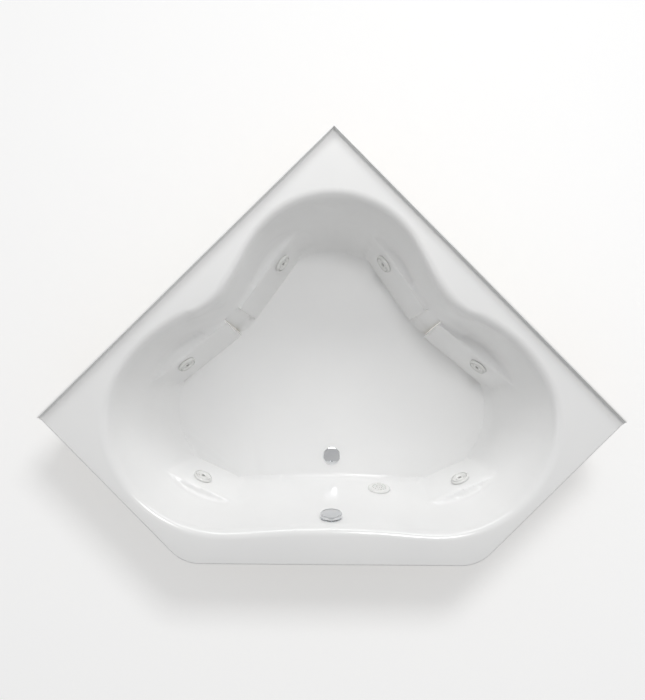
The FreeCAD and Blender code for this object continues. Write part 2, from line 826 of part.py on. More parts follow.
# ---------------------------------------------------------------- jets
def jet_body(label, base, axis, along):
    """The fixed part of a jet: flange and barrel through the pad, and behind it a chamber
    with one tee for water and one for air, along the pad."""
    barrel = turned(f"jet_body_{label}", [
        ("JetBoreRadius", "JetFlangeThickness"),
        ("JetBoreRadius", "-JetBoreDepth"),
        ("JetThroatRadius", "-JetBoreDepth"),
        ("JetThroatRadius", "-(JetBarrelLength - JetWallThickness)"),
        ("0", "-(JetBarrelLength - JetWallThickness)"),
        ("0", "-JetBarrelLength"),
        ("JetBarrelRadius", "-JetBarrelLength"),
        ("JetBarrelRadius", "0"),
        ("JetFlangeRadius", "0"),
        ("JetFlangeRadius", "JetFlangeThickness"),
    ])
    for tag, rise, outer, inner in (
        ("water", "0", "TeeRadius", "PipeRadius"),
        ("air", "HoseRise", "HoseTeeRadius", "HoseRadius"),
    ):
        plane = new_sketch(barrel, "YZ_Plane", f"{tag}_tee_{label}")
        bind(plane, "AttachmentOffset.Base.z", "-TeeLength / 2")
        circle(plane, rise, "-TeeDepth", outer)
        pad = barrel.newObject("PartDesign::Pad", f"{tag}_tee_pad_{label}")
        pad.Profile = plane
        bind(pad, "Length", "TeeLength")
        for end in (-1, 1):
            mouth = new_sketch(barrel, "YZ_Plane", f"{tag}_socket_{label}_{end + 1}")
            bind(mouth, "AttachmentOffset.Base.z", f"{end} * TeeLength / 2")
            circle(mouth, rise, "-TeeDepth", inner)
            cut(barrel, mouth, "SocketDepth", upward=end < 0)
    link = new_sketch(barrel, "XY_Plane", f"air_link_{label}")
    bind(link, "AttachmentOffset.Base.z", "-TeeDepth - HoseTeeRadius / 2")
    draw(link, [
        ("-HoseTeeRadius", "0"),
        ("HoseTeeRadius", "0"),
        ("HoseTeeRadius", "HoseRise"),
        ("-HoseTeeRadius", "HoseRise"),
    ])
    web = barrel.newObject("PartDesign::Pad", f"air_link_pad_{label}")
    web.Profile = link
    bind(web, "Length", "HoseTeeRadius")
    place(barrel, base, axis, along)
    return barrel


def jet_bezel(label, base, axis, along):
    """The turning face: a domed ring with a sleeve in the bore and a seat for the ball."""
    gap = "RunningGap"
    seat = "BallRadius + RunningGap"
    face = "JetFlangeThickness + RunningGap + BezelRise"
    low = "JetFlangeThickness + RunningGap"
    bottom = "-BezelSleeveLength"
    mouth = f"sqrt(({seat})^2 - ({face} - BezelMouthDepth)^2)"
    throat = f"sqrt(({seat})^2 - BallBack^2)"
    bezel = turned(f"jet_bezel_{label}", [
        (mouth, f"{face} - BezelMouthDepth"),
        (throat, "-BallBack"),
        (throat, bottom),
        (f"JetBoreRadius - {gap}", bottom),
        (f"JetBoreRadius - {gap}", low),
        ("BezelRadius", low),
        ("BezelRadius", f"{low} + BezelEdge"),
        ("BezelGrooveRadius + BezelGrooveWidth", face),
        ("BezelGrooveRadius + BezelGrooveWidth", f"{face} - BezelGrooveDepth"),
        ("BezelGrooveRadius", f"{face} - BezelGrooveDepth"),
        ("BezelGrooveRadius", face),
        ("BezelMouthRadius", face),
    ], {0: (seat, True)})
    place(bezel, base, axis, along)
    return bezel


def jet_nozzle(label, base, axis, along):
    """The ball in the bezel, flattened front and back, with a flared bore."""
    front = "sqrt(BallRadius^2 - BallFront^2)"
    rear = "sqrt(BallRadius^2 - BallBack^2)"
    nozzle = turned(f"jet_nozzle_{label}", [
        ("OrificeRadius", "BallFront"),
        ("OrificeRadius", "0"),
        ("OrificeFlare", "-BallBack"),
        (rear, "-BallBack"),
        (front, "BallFront"),
    ], {3: ("BallRadius", False)})
    place(nozzle, base, axis, along)
    return nozzle


def ring(inner, outer, length, base, axis):
    """A flat ring along an axis from its base."""
    return Part.makeCylinder(outer, length, base, axis).cut(
        Part.makeCylinder(inner, length, base, axis)
    )


def lobed_nut(inner, outer, length, base, axis):
    """A hand nut with rounded lugs."""
    nut = ring(inner, outer - S.NutLugRise, length, base, axis)
    side = Rotation(UP, axis).multVec(Vector(1, 0, 0))
    for k in range(int(S.NutLugs)):
        arm = Rotation(axis, 360 * k / S.NutLugs).multVec(side)
        spot = base + arm * (outer - S.NutLugRadius)
        nut = nut.fuse(Part.makeCylinder(S.NutLugRadius, length, spot, axis))
    return nut.cut(Part.makeCylinder(inner, length, base, axis)).removeSplitter()


def jets():
    """Every jet's pieces, then the gaskets and nuts behind the shell."""
    frames = {pad_label(*pad): jet_frame(*pad) for pad in PADS}
    for label, frame in frames.items():
        jet_body(label, *frame)
    for label, frame in frames.items():
        jet_bezel(label, *frame)
    for label, frame in frames.items():
        jet_nozzle(label, *frame)
    gaskets = []
    nuts = []
    for base, axis, _ in frames.values():
        back = base - axis * (S.ShellThickness + S.GasketThickness)
        gaskets.append(ring(S.JetBarrelRadius, S.JetNutRadius, S.GasketThickness, back, axis))
        nuts.append(
            lobed_nut(S.JetBarrelRadius, S.JetNutRadius, S.JetNutLength,
                      back - axis * S.JetNutLength, axis)
        )
    feature("jet_gaskets", Part.makeCompound(gaskets))
    feature("jet_nuts", Part.makeCompound(nuts))
    return frames


JETS = jets()


# ---------------------------------------------------------------- lines
def beside(number, height, clearance):
    """A point outside the shell by a station, at a height, clear of its outer wall."""
    share = (S.DeckHeight - height) / (S.DeckHeight - S.FloorHeight)
    rim, outward = RIM_STATIONS[number]
    floor, _ = FLOOR_STATIONS[number]
    return rim + (floor - rim) * share + outward * (S.ShellThickness + clearance) + UP * height


def ring_face(base, axis, outer, inner):
    """A tube's section."""
    discs = [Part.Face(Part.Wire([Part.Circle(base, axis, r).toShape()])) for r in (outer, inner)]
    return discs[0].cut(discs[1]).Faces[0]


# How much of the shorter run beside a bend the bend takes.
BEND_SHARE = 0.45


def tube(points, outer, inner):
    """A tube along straight runs joined by tangent bends as large as the runs allow."""
    runs = [b - a for a, b in zip(points, points[1:])]
    bends = []
    for i in range(1, len(points) - 1):
        before = Vector(runs[i - 1]).normalize()
        after = Vector(runs[i]).normalize()
        turn = before.getAngle(after)
        reach = BEND_SHARE * min(runs[i - 1].Length, runs[i].Length)
        bends.append((points[i] - before * reach, points[i] + after * reach, before, after,
                      turn, reach / math.tan(turn / 2)))
    pieces = []
    start = points[0]
    for entry, leave, before, after, turn, radius in bends:
        section = ring_face(start, before, outer, inner)
        pieces.append(section.extrude(entry - start))
        normal = before.cross(after).normalize()
        centre = entry + normal.cross(before) * radius
        section = ring_face(entry, before, outer, inner)
        pieces.append(section.revolve(centre, normal, math.degrees(turn)))
        start = leave
    last = points[-1] - start
    pieces.append(ring_face(start, Vector(last).normalize(), outer, inner).extrude(last))
    return pieces[0].fuse(pieces[1:]).removeSplitter()


def tee_end(label, sign, rise, inset):
    """A point on a jet tee's axis: sign picks its end, inset how far inside its mouth."""
    base, axis, level = JETS[label]
    lift = axis.cross(level)
    return base - axis * S.TeeDepth + lift * rise + level * sign * (S.TeeLength / 2 - inset)


BACK_STATION = station_of("back")
SIDE_STATION = station_of("side")
LOWER_STATION = station_of("lower")
LINE_HEIGHT = tee_end("side_right", 1, 0, 0).z


def mirrored_points(points):
    """The same route on the other side, in the other order."""
    return [Vector(-p.x, p.y, p.z) for p in reversed(points)]


def line_routes(rise, radius):
    """The five routes that join the six jets at one tee height, clockwise from front left."""
    lead = -S.LineLead
    height = LINE_HEIGHT + rise
    clear = radius + S.PipeClearance

    def ends(first, second, between):
        """A route from one jet's clockwise mouth to the next one's other mouth."""
        return [
            tee_end(first, 1, rise, S.SocketDepth),
            tee_end(first, 1, rise, lead),
            *between,
            tee_end(second, -1, rise, lead),
            tee_end(second, -1, rise, S.SocketDepth),
        ]

    lobe = [beside(n, height, clear) for n in range(SIDE_STATION - 1, LOWER_STATION - 1, 2)]
    around = ends("side_right", "front_right", lobe)
    hip = ends("back_right", "side_right", [])
    shelf = [beside(BACK_STATION + 1, height, clear)]
    apex = beside(BACK_STATION, height, clear)
    back = ends("back_left", "back_right", mirrored_points(shelf) + [apex] + shelf)
    return [mirrored_points(around), mirrored_points(hip), back, hip, around]


# The pump's riser meets the water line in the middle of its last run on the right side.
MEET_START, MEET_END = line_routes(0, S.PipeRadius)[-1][-3:-1]
LINE_MEET = (MEET_START + MEET_END) * 0.5


def lines():
    """Water pipes and air hoses from jet to jet."""
    water = [
        tube(route, S.PipeRadius, S.PipeRadius - S.PipeWall)
        for route in line_routes(0, S.PipeRadius)
    ]
    hoses = [
        tube(route, S.HoseRadius, S.HoseRadius - S.HoseWall)
        for route in line_routes(S.HoseRise, S.HoseRadius)
    ]
    feature("water_lines", Part.makeCompound(water))
    feature("air_lines", Part.makeCompound(hoses))


lines()


# ---------------------------------------------------------------- waste and overflow
def drain_flange():
    """The strainer body: flange and barrel with a spoked hub that guides the stopper."""
    body = turned("drain_flange", [
        ("DrainBoreRadius", "DrainFlangeThickness"),
        ("DrainBoreRadius", "-DrainBarrelLength"),
        ("DrainBarrelRadius", "-DrainBarrelLength"),
        ("DrainBarrelRadius", "0"),
        ("DrainFlangeRadius", "0"),
        ("DrainFlangeRadius", "DrainFlangeThickness / 3"),
        ("DrainFlangeRadius - DrainFlangeThickness", "DrainFlangeThickness"),
    ])
    spoke = new_sketch(body, "XY_Plane", "drain_spoke")
    bind(spoke, "AttachmentOffset.Base.z", "-DrainHubDrop - SpokeHeight")
    draw(spoke, [
        ("StemRadius + RunningGap", "-SpokeWidth / 2"),
        ("DrainBoreRadius + SpokeWidth / 2", "-SpokeWidth / 2"),
        ("DrainBoreRadius + SpokeWidth / 2", "SpokeWidth / 2"),
        ("StemRadius + RunningGap", "SpokeWidth / 2"),
    ])
    arm = body.newObject("PartDesign::Pad", "drain_arm")
    arm.Profile = spoke
    bind(arm, "Length", "SpokeHeight")
    doc.recompute()
    repeat(body, arm, int(S.SpokeCount))
    hub = new_sketch(body, "XY_Plane", "drain_hub")
    bind(hub, "AttachmentOffset.Base.z", "-DrainHubDrop - SpokeHeight")
    circle(hub, "0", "0", "DrainHubRadius")
    boss = body.newObject("PartDesign::Pad", "drain_boss")
    boss.Profile = hub
    bind(boss, "Length", "SpokeHeight")
    guide = new_sketch(body, "XY_Plane", "drain_guide")
    circle(guide, "0", "0", "StemRadius + RunningGap")
    cut(body, guide, "DrainHubDrop + 2 * SpokeHeight")
    place(body, DRAIN)


def drain_stopper():
    """The pop-up stopper, shut: a domed cap on a stem, with a core that carries its seal."""
    base = "DrainFlangeThickness + RunningGap"
    crown = f"{base} + StopperThickness + StopperDome"
    edge = f"{base} + StopperThickness"
    body = turned("drain_stopper", [
        ("0", "-DrainHubDrop - 3 * SpokeHeight"),
        ("StemRadius", "-DrainHubDrop - 3 * SpokeHeight"),
        ("StemRadius", "-SealDepth"),
        ("SealCoreRadius", "-SealDepth"),
        ("SealCoreRadius", base),
        ("StopperRadius", base),
        ("StopperRadius", edge),
        ("0", crown),
    ], {6: ("(StopperRadius^2 + StopperDome^2) / (2 * StopperDome)", False)})
    place(body, DRAIN)
    seal = turned("stopper_seal", [
        ("SealCoreRadius", "-SealDepth"),
        ("DrainBoreRadius - 2 * SealGap", "-SealDepth"),
        ("DrainBoreRadius - SealGap", base),
        ("SealCoreRadius", base),
    ])
    place(seal, DRAIN)


def drain_shoe():
    """The elbow under the floor: a cup round the barrel and a socket towards the front."""
    top = "-(ShellThickness + GasketThickness)"
    bottom = "-(ShellThickness + GasketThickness + ShoeDepth)"
    body = turned("drain_shoe", [
        ("DrainBarrelRadius", top),
        ("ShoeRadius", top),
        ("ShoeRadius", bottom),
        ("0", bottom),
        ("0", f"{bottom} + SocketWall"),
        ("DrainBarrelRadius", f"{bottom} + SocketWall"),
    ])
    for tag, radius, length in (("outlet", "TubeRadius + SocketWall", "2 * ShoeRadius"),
                                ("socket", "TubeRadius", "2 * ShoeRadius")):
        plane = new_sketch(body, "XZ_Plane", "shoe_" + tag)
        circle(plane, "0", "-WasteAxisDrop", radius)
        if tag == "outlet":
            bind(plane, "AttachmentOffset.Base.z", "DrainBarrelRadius")
            pad = body.newObject("PartDesign::Pad", "shoe_outlet_pad")
            pad.Profile = plane
            bind(pad, "Length", "2 * ShoeRadius - DrainBarrelRadius")
        else:
            bind(plane, "AttachmentOffset.Base.z", length)
            cut(body, plane, length)
    place(body, DRAIN)


def upright(radius, bottom, top, y):
    """A standing cylinder on the bath's middle line."""
    return Part.makeCylinder(radius, top - bottom, Vector(0, y, bottom))


def waste_line():
    """Waste tube, tee, tailpiece and overflow tube, with their slip nuts and gaskets."""
    axis_z = S.FloorHeight - S.WasteAxisDrop
    socket = S.TubeRadius + S.SocketWall
    bore = S.TubeRadius - S.TubeWall
    front = S.WasteLineY + socket + S.SlipNutLength
    start = Vector(0, S.DrainY - 2 * S.ShoeRadius + S.SlipNutLength, axis_z)
    end = Vector(0, S.WasteLineY + S.TubeRadius, axis_z)
    reach = Vector(0, -1, 0)
    feature("waste_tube", ring(bore, S.TubeRadius, (end - start).Length, start, reach))

    tee = upright(socket, S.TeeBottom, S.TeeTop, S.WasteLineY)
    tee = tee.fuse(Part.makeCylinder(socket, front - S.WasteLineY,
                                     Vector(0, S.WasteLineY, axis_z), -reach))
    tee = tee.cut(upright(S.TubeRadius, S.TeeBottom, S.TeeTop, S.WasteLineY))
    tee = tee.cut(Part.makeCylinder(S.TubeRadius, front - S.WasteLineY,
                                    Vector(0, S.WasteLineY, axis_z), -reach))
    collar = S.TubeRadius + S.SpigotCollar
    tail_top = S.TeeBottom + S.SpigotSeat
    tee = tee.cut(upright(collar, S.TeeBottom, tail_top, S.WasteLineY))
    feature("waste_tee", tee.removeSplitter())

    tail = upright(S.TubeRadius, S.TailpieceBottom, S.TeeBottom, S.WasteLineY)
    tail = tail.fuse(upright(collar, S.TeeBottom, tail_top, S.WasteLineY))
    tail = tail.cut(upright(bore, S.TailpieceBottom, tail_top, S.WasteLineY))
    feature("tailpiece", tail.removeSplitter())
    cup = OVERFLOW - OVERFLOW_AXIS * (SEAT + S.GasketThickness)
    crown = (cup - OVERFLOW_AXIS * S.OverflowCupLength).z
    foot = axis_z + S.TubeRadius
    feature("overflow_tube", ring(bore, S.TubeRadius, crown - S.TubeRadius - foot,
                                  Vector(0, S.WasteLineY, foot), UP))

    elbow = Part.makeCylinder(S.OverflowCupRadius, S.OverflowCupLength, cup, -OVERFLOW_AXIS)
    sleeve_bottom = crown - 3 * S.TubeRadius
    elbow = elbow.fuse(upright(socket, sleeve_bottom, crown + S.SocketWall, S.WasteLineY))
    hollow = Part.makeCylinder(S.OverflowCupRadius - S.SocketWall,
                               S.OverflowCupLength - S.SocketWall, cup, -OVERFLOW_AXIS)
    elbow = elbow.cut(hollow).cut(upright(S.TubeRadius, sleeve_bottom, crown, S.WasteLineY))
    feature("overflow_elbow", elbow.removeSplitter())

    nuts = [
        lobed_nut(S.TubeRadius, S.SlipNutRadius, S.SlipNutLength, base, way)
        for base, way in (
            (Vector(0, front, axis_z), -reach),
            (Vector(0, S.WasteLineY, S.TeeTop), UP),
            (Vector(0, S.WasteLineY, sleeve_bottom), -UP),
        )
    ]
    feature("slip_nuts", Part.makeCompound(nuts))
    under_floor = DRAIN - UP * (S.ShellThickness + S.GasketThickness)
    feature("waste_gaskets", Part.makeCompound([
        ring(S.DrainHoleRadius, S.ShoeRadius, S.GasketThickness, under_floor, UP),
        ring(S.OverflowHoleRadius, S.OverflowCupRadius, S.GasketThickness, cup, OVERFLOW_AXIS),
    ]))


def overflow_plate():
    """The fixed overflow trim: a low plate with a sleeve and a ring of water ports."""
    shaft = "KnobShaftRadius + RunningGap"
    neck = "OverflowSleeveRadius - OverflowPlateFace"
    body = turned("overflow_plate", [
        (shaft, "OverflowPlateFace"),
        (shaft, "-OverflowWeb"),
        (neck, "-OverflowWeb"),
        (neck, "-OverflowSleeveLength"),
        ("OverflowSleeveRadius", "-OverflowSleeveLength"),
        ("OverflowSleeveRadius", "0"),
        ("OverflowPlateRadius", "0"),
        ("OverflowPlateRadius", "OverflowPlateFace / 3"),
        ("OverflowPlateRadius - OverflowPlateFace", "OverflowPlateFace"),
    ])
    port = new_sketch(body, "XY_Plane", "overflow_port")
    bind(port, "AttachmentOffset.Base.z", "OverflowPlateFace")
    circle(port, "OverflowPortCircle", "0", "OverflowPortRadius")
    drilled = cut(body, port, "OverflowPlateFace + OverflowWeb")
    doc.recompute()
    repeat(body, drilled, int(S.OverflowPorts))
    place(body, OVERFLOW, OVERFLOW_AXIS)


def overflow_knob():
    """The knob that works the stopper: a dished cap on a hub and a shaft. Water runs in under
    its rim to the plate's ports."""
    base = "OverflowPlateFace + RunningGap"
    rim = "OverflowPlateFace + KnobLift"
    face = f"{rim} + KnobThickness"
    under = f"{face} - KnobDish - KnobSkin"
    inside = "KnobRadius - KnobSkin"
    body = turned("overflow_knob", [
        ("0", "-KnobShaftLength"),
        ("KnobShaftRadius", "-KnobShaftLength"),
        ("KnobShaftRadius", base),
        ("KnobHubRadius", base),
        ("KnobHubRadius", under),
        (inside, under),
        (inside, rim),
        ("KnobRadius", rim),
        ("KnobRadius", f"{face} - KnobSkin"),
        (inside, face),
        ("KnobRadius - KnobRimWidth", face),
        ("KnobRadius - KnobRimWidth - 2 * KnobDish", f"{face} - KnobDish"),
        ("0", f"{face} - KnobDish"),
    ])
    place(body, OVERFLOW, OVERFLOW_AXIS)


drain_flange()
drain_stopper()
drain_shoe()
waste_line()
overflow_plate()
overflow_knob()


# ---------------------------------------------------------------- suction fitting
def suction_frame():
    """The suction elbow's axis point behind the shell and its outlet direction."""
    level = UP.cross(SUCTION_AXIS).normalize()
    if level.x < 0:
        level = -level
    return SUCTION - SUCTION_AXIS * (S.SuctionBarrelLength - S.SuctionPipeRadius), level


def suction_body():
    """The fixed part: flange and barrel through the wall, and an elbow behind."""
    barrel = "SuctionBarrelRadius"
    inner = "SuctionBarrelRadius - SocketWall"
    body = turned("suction_body", [
        (inner, "SuctionFlangeThickness"),
        (inner, "-SuctionBarrelLength - SocketWall"),
        ("0", "-SuctionBarrelLength - SocketWall"),
        ("0", "-SuctionBarrelLength - 2 * SocketWall"),
        (barrel, "-SuctionBarrelLength - 2 * SocketWall"),
        (barrel, "0"),
        ("SuctionRadius - SocketWall", "0"),
        ("SuctionRadius - SocketWall", "SuctionFlangeThickness"),
    ])
    depth = "-(SuctionBarrelLength - SuctionPipeRadius)"
    mouth = "2 * SuctionBarrelRadius"
    outlet = new_sketch(body, "YZ_Plane", "suction_outlet")
    bind(outlet, "AttachmentOffset.Base.z", "SuctionBarrelRadius - SocketWall")
    circle(outlet, "0", depth, "SuctionPipeRadius + SocketWall")
    pad = body.newObject("PartDesign::Pad", "suction_outlet_pad")
    pad.Profile = outlet
    bind(pad, "Length", f"{mouth} - (SuctionBarrelRadius - SocketWall)")
    bore = new_sketch(body, "YZ_Plane", "suction_bore")
    bind(bore, "AttachmentOffset.Base.z", mouth)
    circle(bore, "0", depth, "SuctionPipeRadius")
    cut(body, bore, mouth)
    _, level = suction_frame()
    place(body, SUCTION, SUCTION_AXIS, level)


def suction_cover():
    """The domed cover over the flange, drilled in two rings."""
    rim = "SuctionRadius"
    seat = "SuctionFlangeThickness"
    body = turned("suction_cover", [
        ("0", f"{seat}"),
        (f"{rim} - SocketWall", f"{seat}"),
        (f"{rim} - SocketWall", "0"),
        (rim, "0"),
        (rim, "SuctionRise / 2"),
        (f"{rim} - SuctionRise / 2", "SuctionRise"),
        ("0", "SuctionRise + SuctionDome"),
    ])
    for tag, across, count in (("inner", "SuctionInnerCircle", int(S.SuctionInnerHoles)),
                               ("outer", "SuctionOuterCircle", int(S.SuctionOuterHoles))):
        ring_of = new_sketch(body, "XY_Plane", f"suction_{tag}")
        bind(ring_of, "AttachmentOffset.Base.z", "SuctionRise + SuctionDome")
        circle(ring_of, across, "0", "SuctionHoleRadius")
        drilled = cut(body, ring_of, "SuctionRise + SuctionDome")
        doc.recompute()
        repeat(body, drilled, count)
    place(body, SUCTION, SUCTION_AXIS)


def suction_nut():
    """The hand nut and gasket behind the wall."""
    back = SUCTION - SUCTION_AXIS * (SEAT + S.GasketThickness)
    gasket = ring(S.SuctionBarrelRadius, S.SuctionNutRadius, S.GasketThickness, back,
                  SUCTION_AXIS)
    nut = lobed_nut(S.SuctionBarrelRadius, S.SuctionNutRadius, S.SuctionNutLength,
                    back - SUCTION_AXIS * S.SuctionNutLength, SUCTION_AXIS)
    feature("suction_nut", Part.makeCompound([gasket, nut]))


suction_body()
suction_cover()
suction_nut()


# ---------------------------------------------------------------- pump
# The pump stands under the right side of the deck with its shaft along the right return. Its
# discharge port is right below the water line. Local +Z runs from the wet end to the fan and
# local +X upward.
PUMP_BACK = Vector(1, 1, 0).normalize()
PUMP_OUT = Vector(1, -1, 0).normalize()
PORT_OFFSET = "(VoluteRadius - PipeRadius - VoluteWall)"
PUMP = (
    Vector(LINE_MEET.x, LINE_MEET.y, S.PumpAxisHeight)
    + PUMP_OUT * value(PORT_OFFSET) - PUMP_BACK * S.VoluteWidth / 2
)


def on_pump(body):
    """Stand a sub-part in the pump's frame."""
    return place(body, PUMP, PUMP_BACK, UP)


def pump_volute():
    """The wet end: a round casing with an axial suction port and an upright discharge."""
    inner = "VoluteRadius - VoluteWall"
    port = "SuctionPipeRadius + SocketWall"
    body = turned("pump_volute", [
        ("SuctionPipeRadius", "-SuctionPortLength"),
        ("SuctionPipeRadius", "VoluteWall"),
        (inner, "VoluteWall"),
        (inner, "VoluteWidth"),
        ("VoluteRadius", "VoluteWidth"),
        ("VoluteRadius", "VoluteWall"),
        ("VoluteRadius - VoluteWall", "0"),
        (port, "0"),
        (port, "-SuctionPortLength"),
    ])
    for tag, radius in (("port", "PipeRadius + SocketWall"), ("bore", "PipeRadius")):
        plane = new_sketch(body, "YZ_Plane", "volute_" + tag)
        circle(plane, f"-{PORT_OFFSET}", "VoluteWidth / 2", radius)
        if tag == "port":
            bind(plane, "AttachmentOffset.Base.z", "PortRoot")
            pad = body.newObject("PartDesign::Pad", "volute_port_pad")
            pad.Profile = plane
            bind(pad, "Length", "PortTop - PortRoot")
        else:
            bind(plane, "AttachmentOffset.Base.z", "PortTop")
            cut(body, plane, "PortDepth")
    chamber = new_sketch(body, "XY_Plane", "volute_chamber")
    bind(chamber, "AttachmentOffset.Base.z", "VoluteWidth")
    circle(chamber, "0", "0", inner)
    cut(body, chamber, "VoluteWidth - VoluteWall")
    on_pump(body)


def pump_rotor():
    """Shaft, impeller and fan in one: what the motor turns."""
    disc_back = "VoluteWidth - VoluteWall"
    disc_front = f"{disc_back} - ImpellerDisc"
    tail = "VoluteWidth + MotorLength + FanCoverLength - FanClearance"
    body = turned("pump_rotor", [
        ("0", f"{disc_front} - ImpellerWidth"),
        ("ShaftRadius", f"{disc_front} - ImpellerWidth"),
        ("ImpellerHubRadius", disc_front),
        ("ImpellerRadius", disc_front),
        ("ImpellerRadius", disc_back),
        ("ShaftRadius", disc_back),
        ("ShaftRadius", tail),
        ("0", tail),
    ])
    for tag, base, inner, outer, width, count in (
        ("vane", disc_front, "ShaftRadius", "ImpellerRadius - ImpellerDisc",
         "-ImpellerWidth", int(S.VaneCount)),
        ("blade", tail, "ShaftRadius / 2", "FanCoverRadius - FanClearance",
         "-FanWidth", int(S.VaneCount)),
    ):
        plane = new_sketch(body, "XY_Plane", f"rotor_{tag}")
        bind(plane, "AttachmentOffset.Base.z", f"{base} + ({width})")
        draw(plane, [
            (inner, "-VaneThickness / 2"),
            (outer, "-VaneThickness / 2"),
            (outer, "VaneThickness / 2"),
            (inner, "VaneThickness / 2"),
        ])
        arm = body.newObject("PartDesign::Pad", f"rotor_{tag}_pad")
        arm.Profile = plane
        bind(arm, "Length", f"-({width})")
        doc.recompute()
        repeat(body, arm, count)
    on_pump(body)


def pump_motor():
    """The motor casing: a finned tube with bored end plates that carry the shaft."""
    start = "VoluteWidth"
    end = "VoluteWidth + MotorLength"
    inner = "MotorRadius - MotorWall - MotorFinHeight"
    bore = "ShaftRadius + ShaftFit"
    body = turned("pump_motor", [
        (bore, start),
        ("VoluteRadius", start),
        ("VoluteRadius", f"{start} + EndPlateThickness"),
        ("MotorRadius - MotorFinHeight", f"{start} + EndPlateThickness"),
        ("MotorRadius - MotorFinHeight", end),
        (bore, end),
        (bore, f"{end} - EndPlateThickness"),
        (inner, f"{end} - EndPlateThickness"),
        (inner, f"{start} + EndPlateThickness"),
        (bore, f"{start} + EndPlateThickness"),
    ])
    plane = new_sketch(body, "XY_Plane", "motor_fin")
    bind(plane, "AttachmentOffset.Base.z", f"{start} + EndPlateThickness")
    draw(plane, [
        ("MotorRadius - MotorFinHeight - MotorWall / 2", "-VaneThickness / 2"),
        ("MotorRadius", "-VaneThickness / 2"),
        ("MotorRadius", "VaneThickness / 2"),
        ("MotorRadius - MotorFinHeight - MotorWall / 2", "VaneThickness / 2"),
    ])
    fin = body.newObject("PartDesign::Pad", "motor_fin_pad")
    fin.Profile = plane
    bind(fin, "Length", "MotorLength - EndPlateThickness")
    doc.recompute()
    repeat(body, fin, int(S.MotorFins))
    on_pump(body)


def motor_fan_cover():
    """The cap over the fan, with a ring of air slots in its end."""
    start = "VoluteWidth + MotorLength"
    end = f"{start} + FanCoverLength"
    skin = "MotorWall / 2"
    body = turned("motor_fan_cover", [
        ("MotorRadius - MotorFinHeight", start),
        ("MotorRadius", start),
        ("FanCoverRadius", f"{start} + MotorWall"),
        ("FanCoverRadius", f"{end} - MotorWall"),
        ("FanCoverRadius - MotorWall", end),
        ("0", end),
        ("0", f"{end} - {skin}"),
        (f"FanCoverRadius - MotorWall - {skin}", f"{end} - {skin}"),
        (f"FanCoverRadius - {skin}", f"{end} - MotorWall - {skin}"),
        (f"FanCoverRadius - {skin}", f"{start} + MotorWall"),
        ("MotorRadius - MotorFinHeight", f"{start} + MotorWall"),
    ])
    slot = new_sketch(body, "XY_Plane", "fan_slot")
    bind(slot, "AttachmentOffset.Base.z", end)
    draw(slot, [
        ("FanSlotStart", "-VaneThickness / 2"),
        ("FanSlotEnd", "-VaneThickness"),
        ("FanSlotEnd", "VaneThickness"),
        ("FanSlotStart", "VaneThickness / 2"),
    ])
    opened = cut(body, slot, "MotorWall")
    doc.recompute()
    repeat(body, opened, int(S.FanSlots))
    on_pump(body)


def terminal_box():
    """The box on top of the motor, with its cable gland."""
    half = "BoxWidth / 2"
    body = padded("terminal_box", [
        (f"-{half}", "-BoxLength / 2"),
        (half, "-BoxLength / 2"),
        (half, "BoxLength / 2"),
        (f"-{half}", "BoxLength / 2"),
    ], "BoxHeight")
    gland = new_sketch(body, "XZ_Plane", "gland")
    bind(gland, "AttachmentOffset.Base.z", "BoxLength / 2")
    circle(gland, "0", "BoxHeight / 2", "GlandRadius")
    boss = body.newObject("PartDesign::Pad", "gland_boss")
    boss.Profile = gland
    bind(boss, "Length", "GlandLength")
    top = PUMP + PUMP_BACK * (S.VoluteWidth + S.MotorLength / 2) + UP * S.MotorRadius
    place(body, top, UP, PUMP_OUT)


def pump_base():
    """The plate under the pump, with two saddles for the motor."""
    half = "PumpBaseWidth / 2"
    body = padded("pump_base", [
        (f"-{half}", "0"),
        (half, "0"),
        (half, "PumpBaseLength"),
        (f"-{half}", "PumpBaseLength"),
    ], "PumpBaseThickness")
    chord = "SaddleSpan / 2"
    lift = "PumpAxisHeight - sqrt(MotorRadius^2 - SaddleSpan^2 / 4)"
    for tag, start in (("front", "VoluteWidth + SaddleWidth"),
                       ("rear", "VoluteWidth + MotorLength - 2 * SaddleWidth")):
        plane = new_sketch(body, "XZ_Plane", "saddle_" + tag)
        bind(plane, "AttachmentOffset.Base.z", f"-({start}) - SaddleWidth")
        draw(plane, [
            (f"-{chord}", "PumpBaseThickness / 2"),
            (chord, "PumpBaseThickness / 2"),
            (chord, lift),
            (f"-{chord}", lift),
        ], {2: ("MotorRadius", True)})
        pad = body.newObject("PartDesign::Pad", f"saddle_{tag}_pad")
        pad.Profile = plane
        bind(pad, "Length", "SaddleWidth")
    body.Placement = Placement(
        Vector(PUMP.x, PUMP.y, 0), Rotation(-PUMP_OUT, PUMP_BACK, UP, "ZYX")
    )


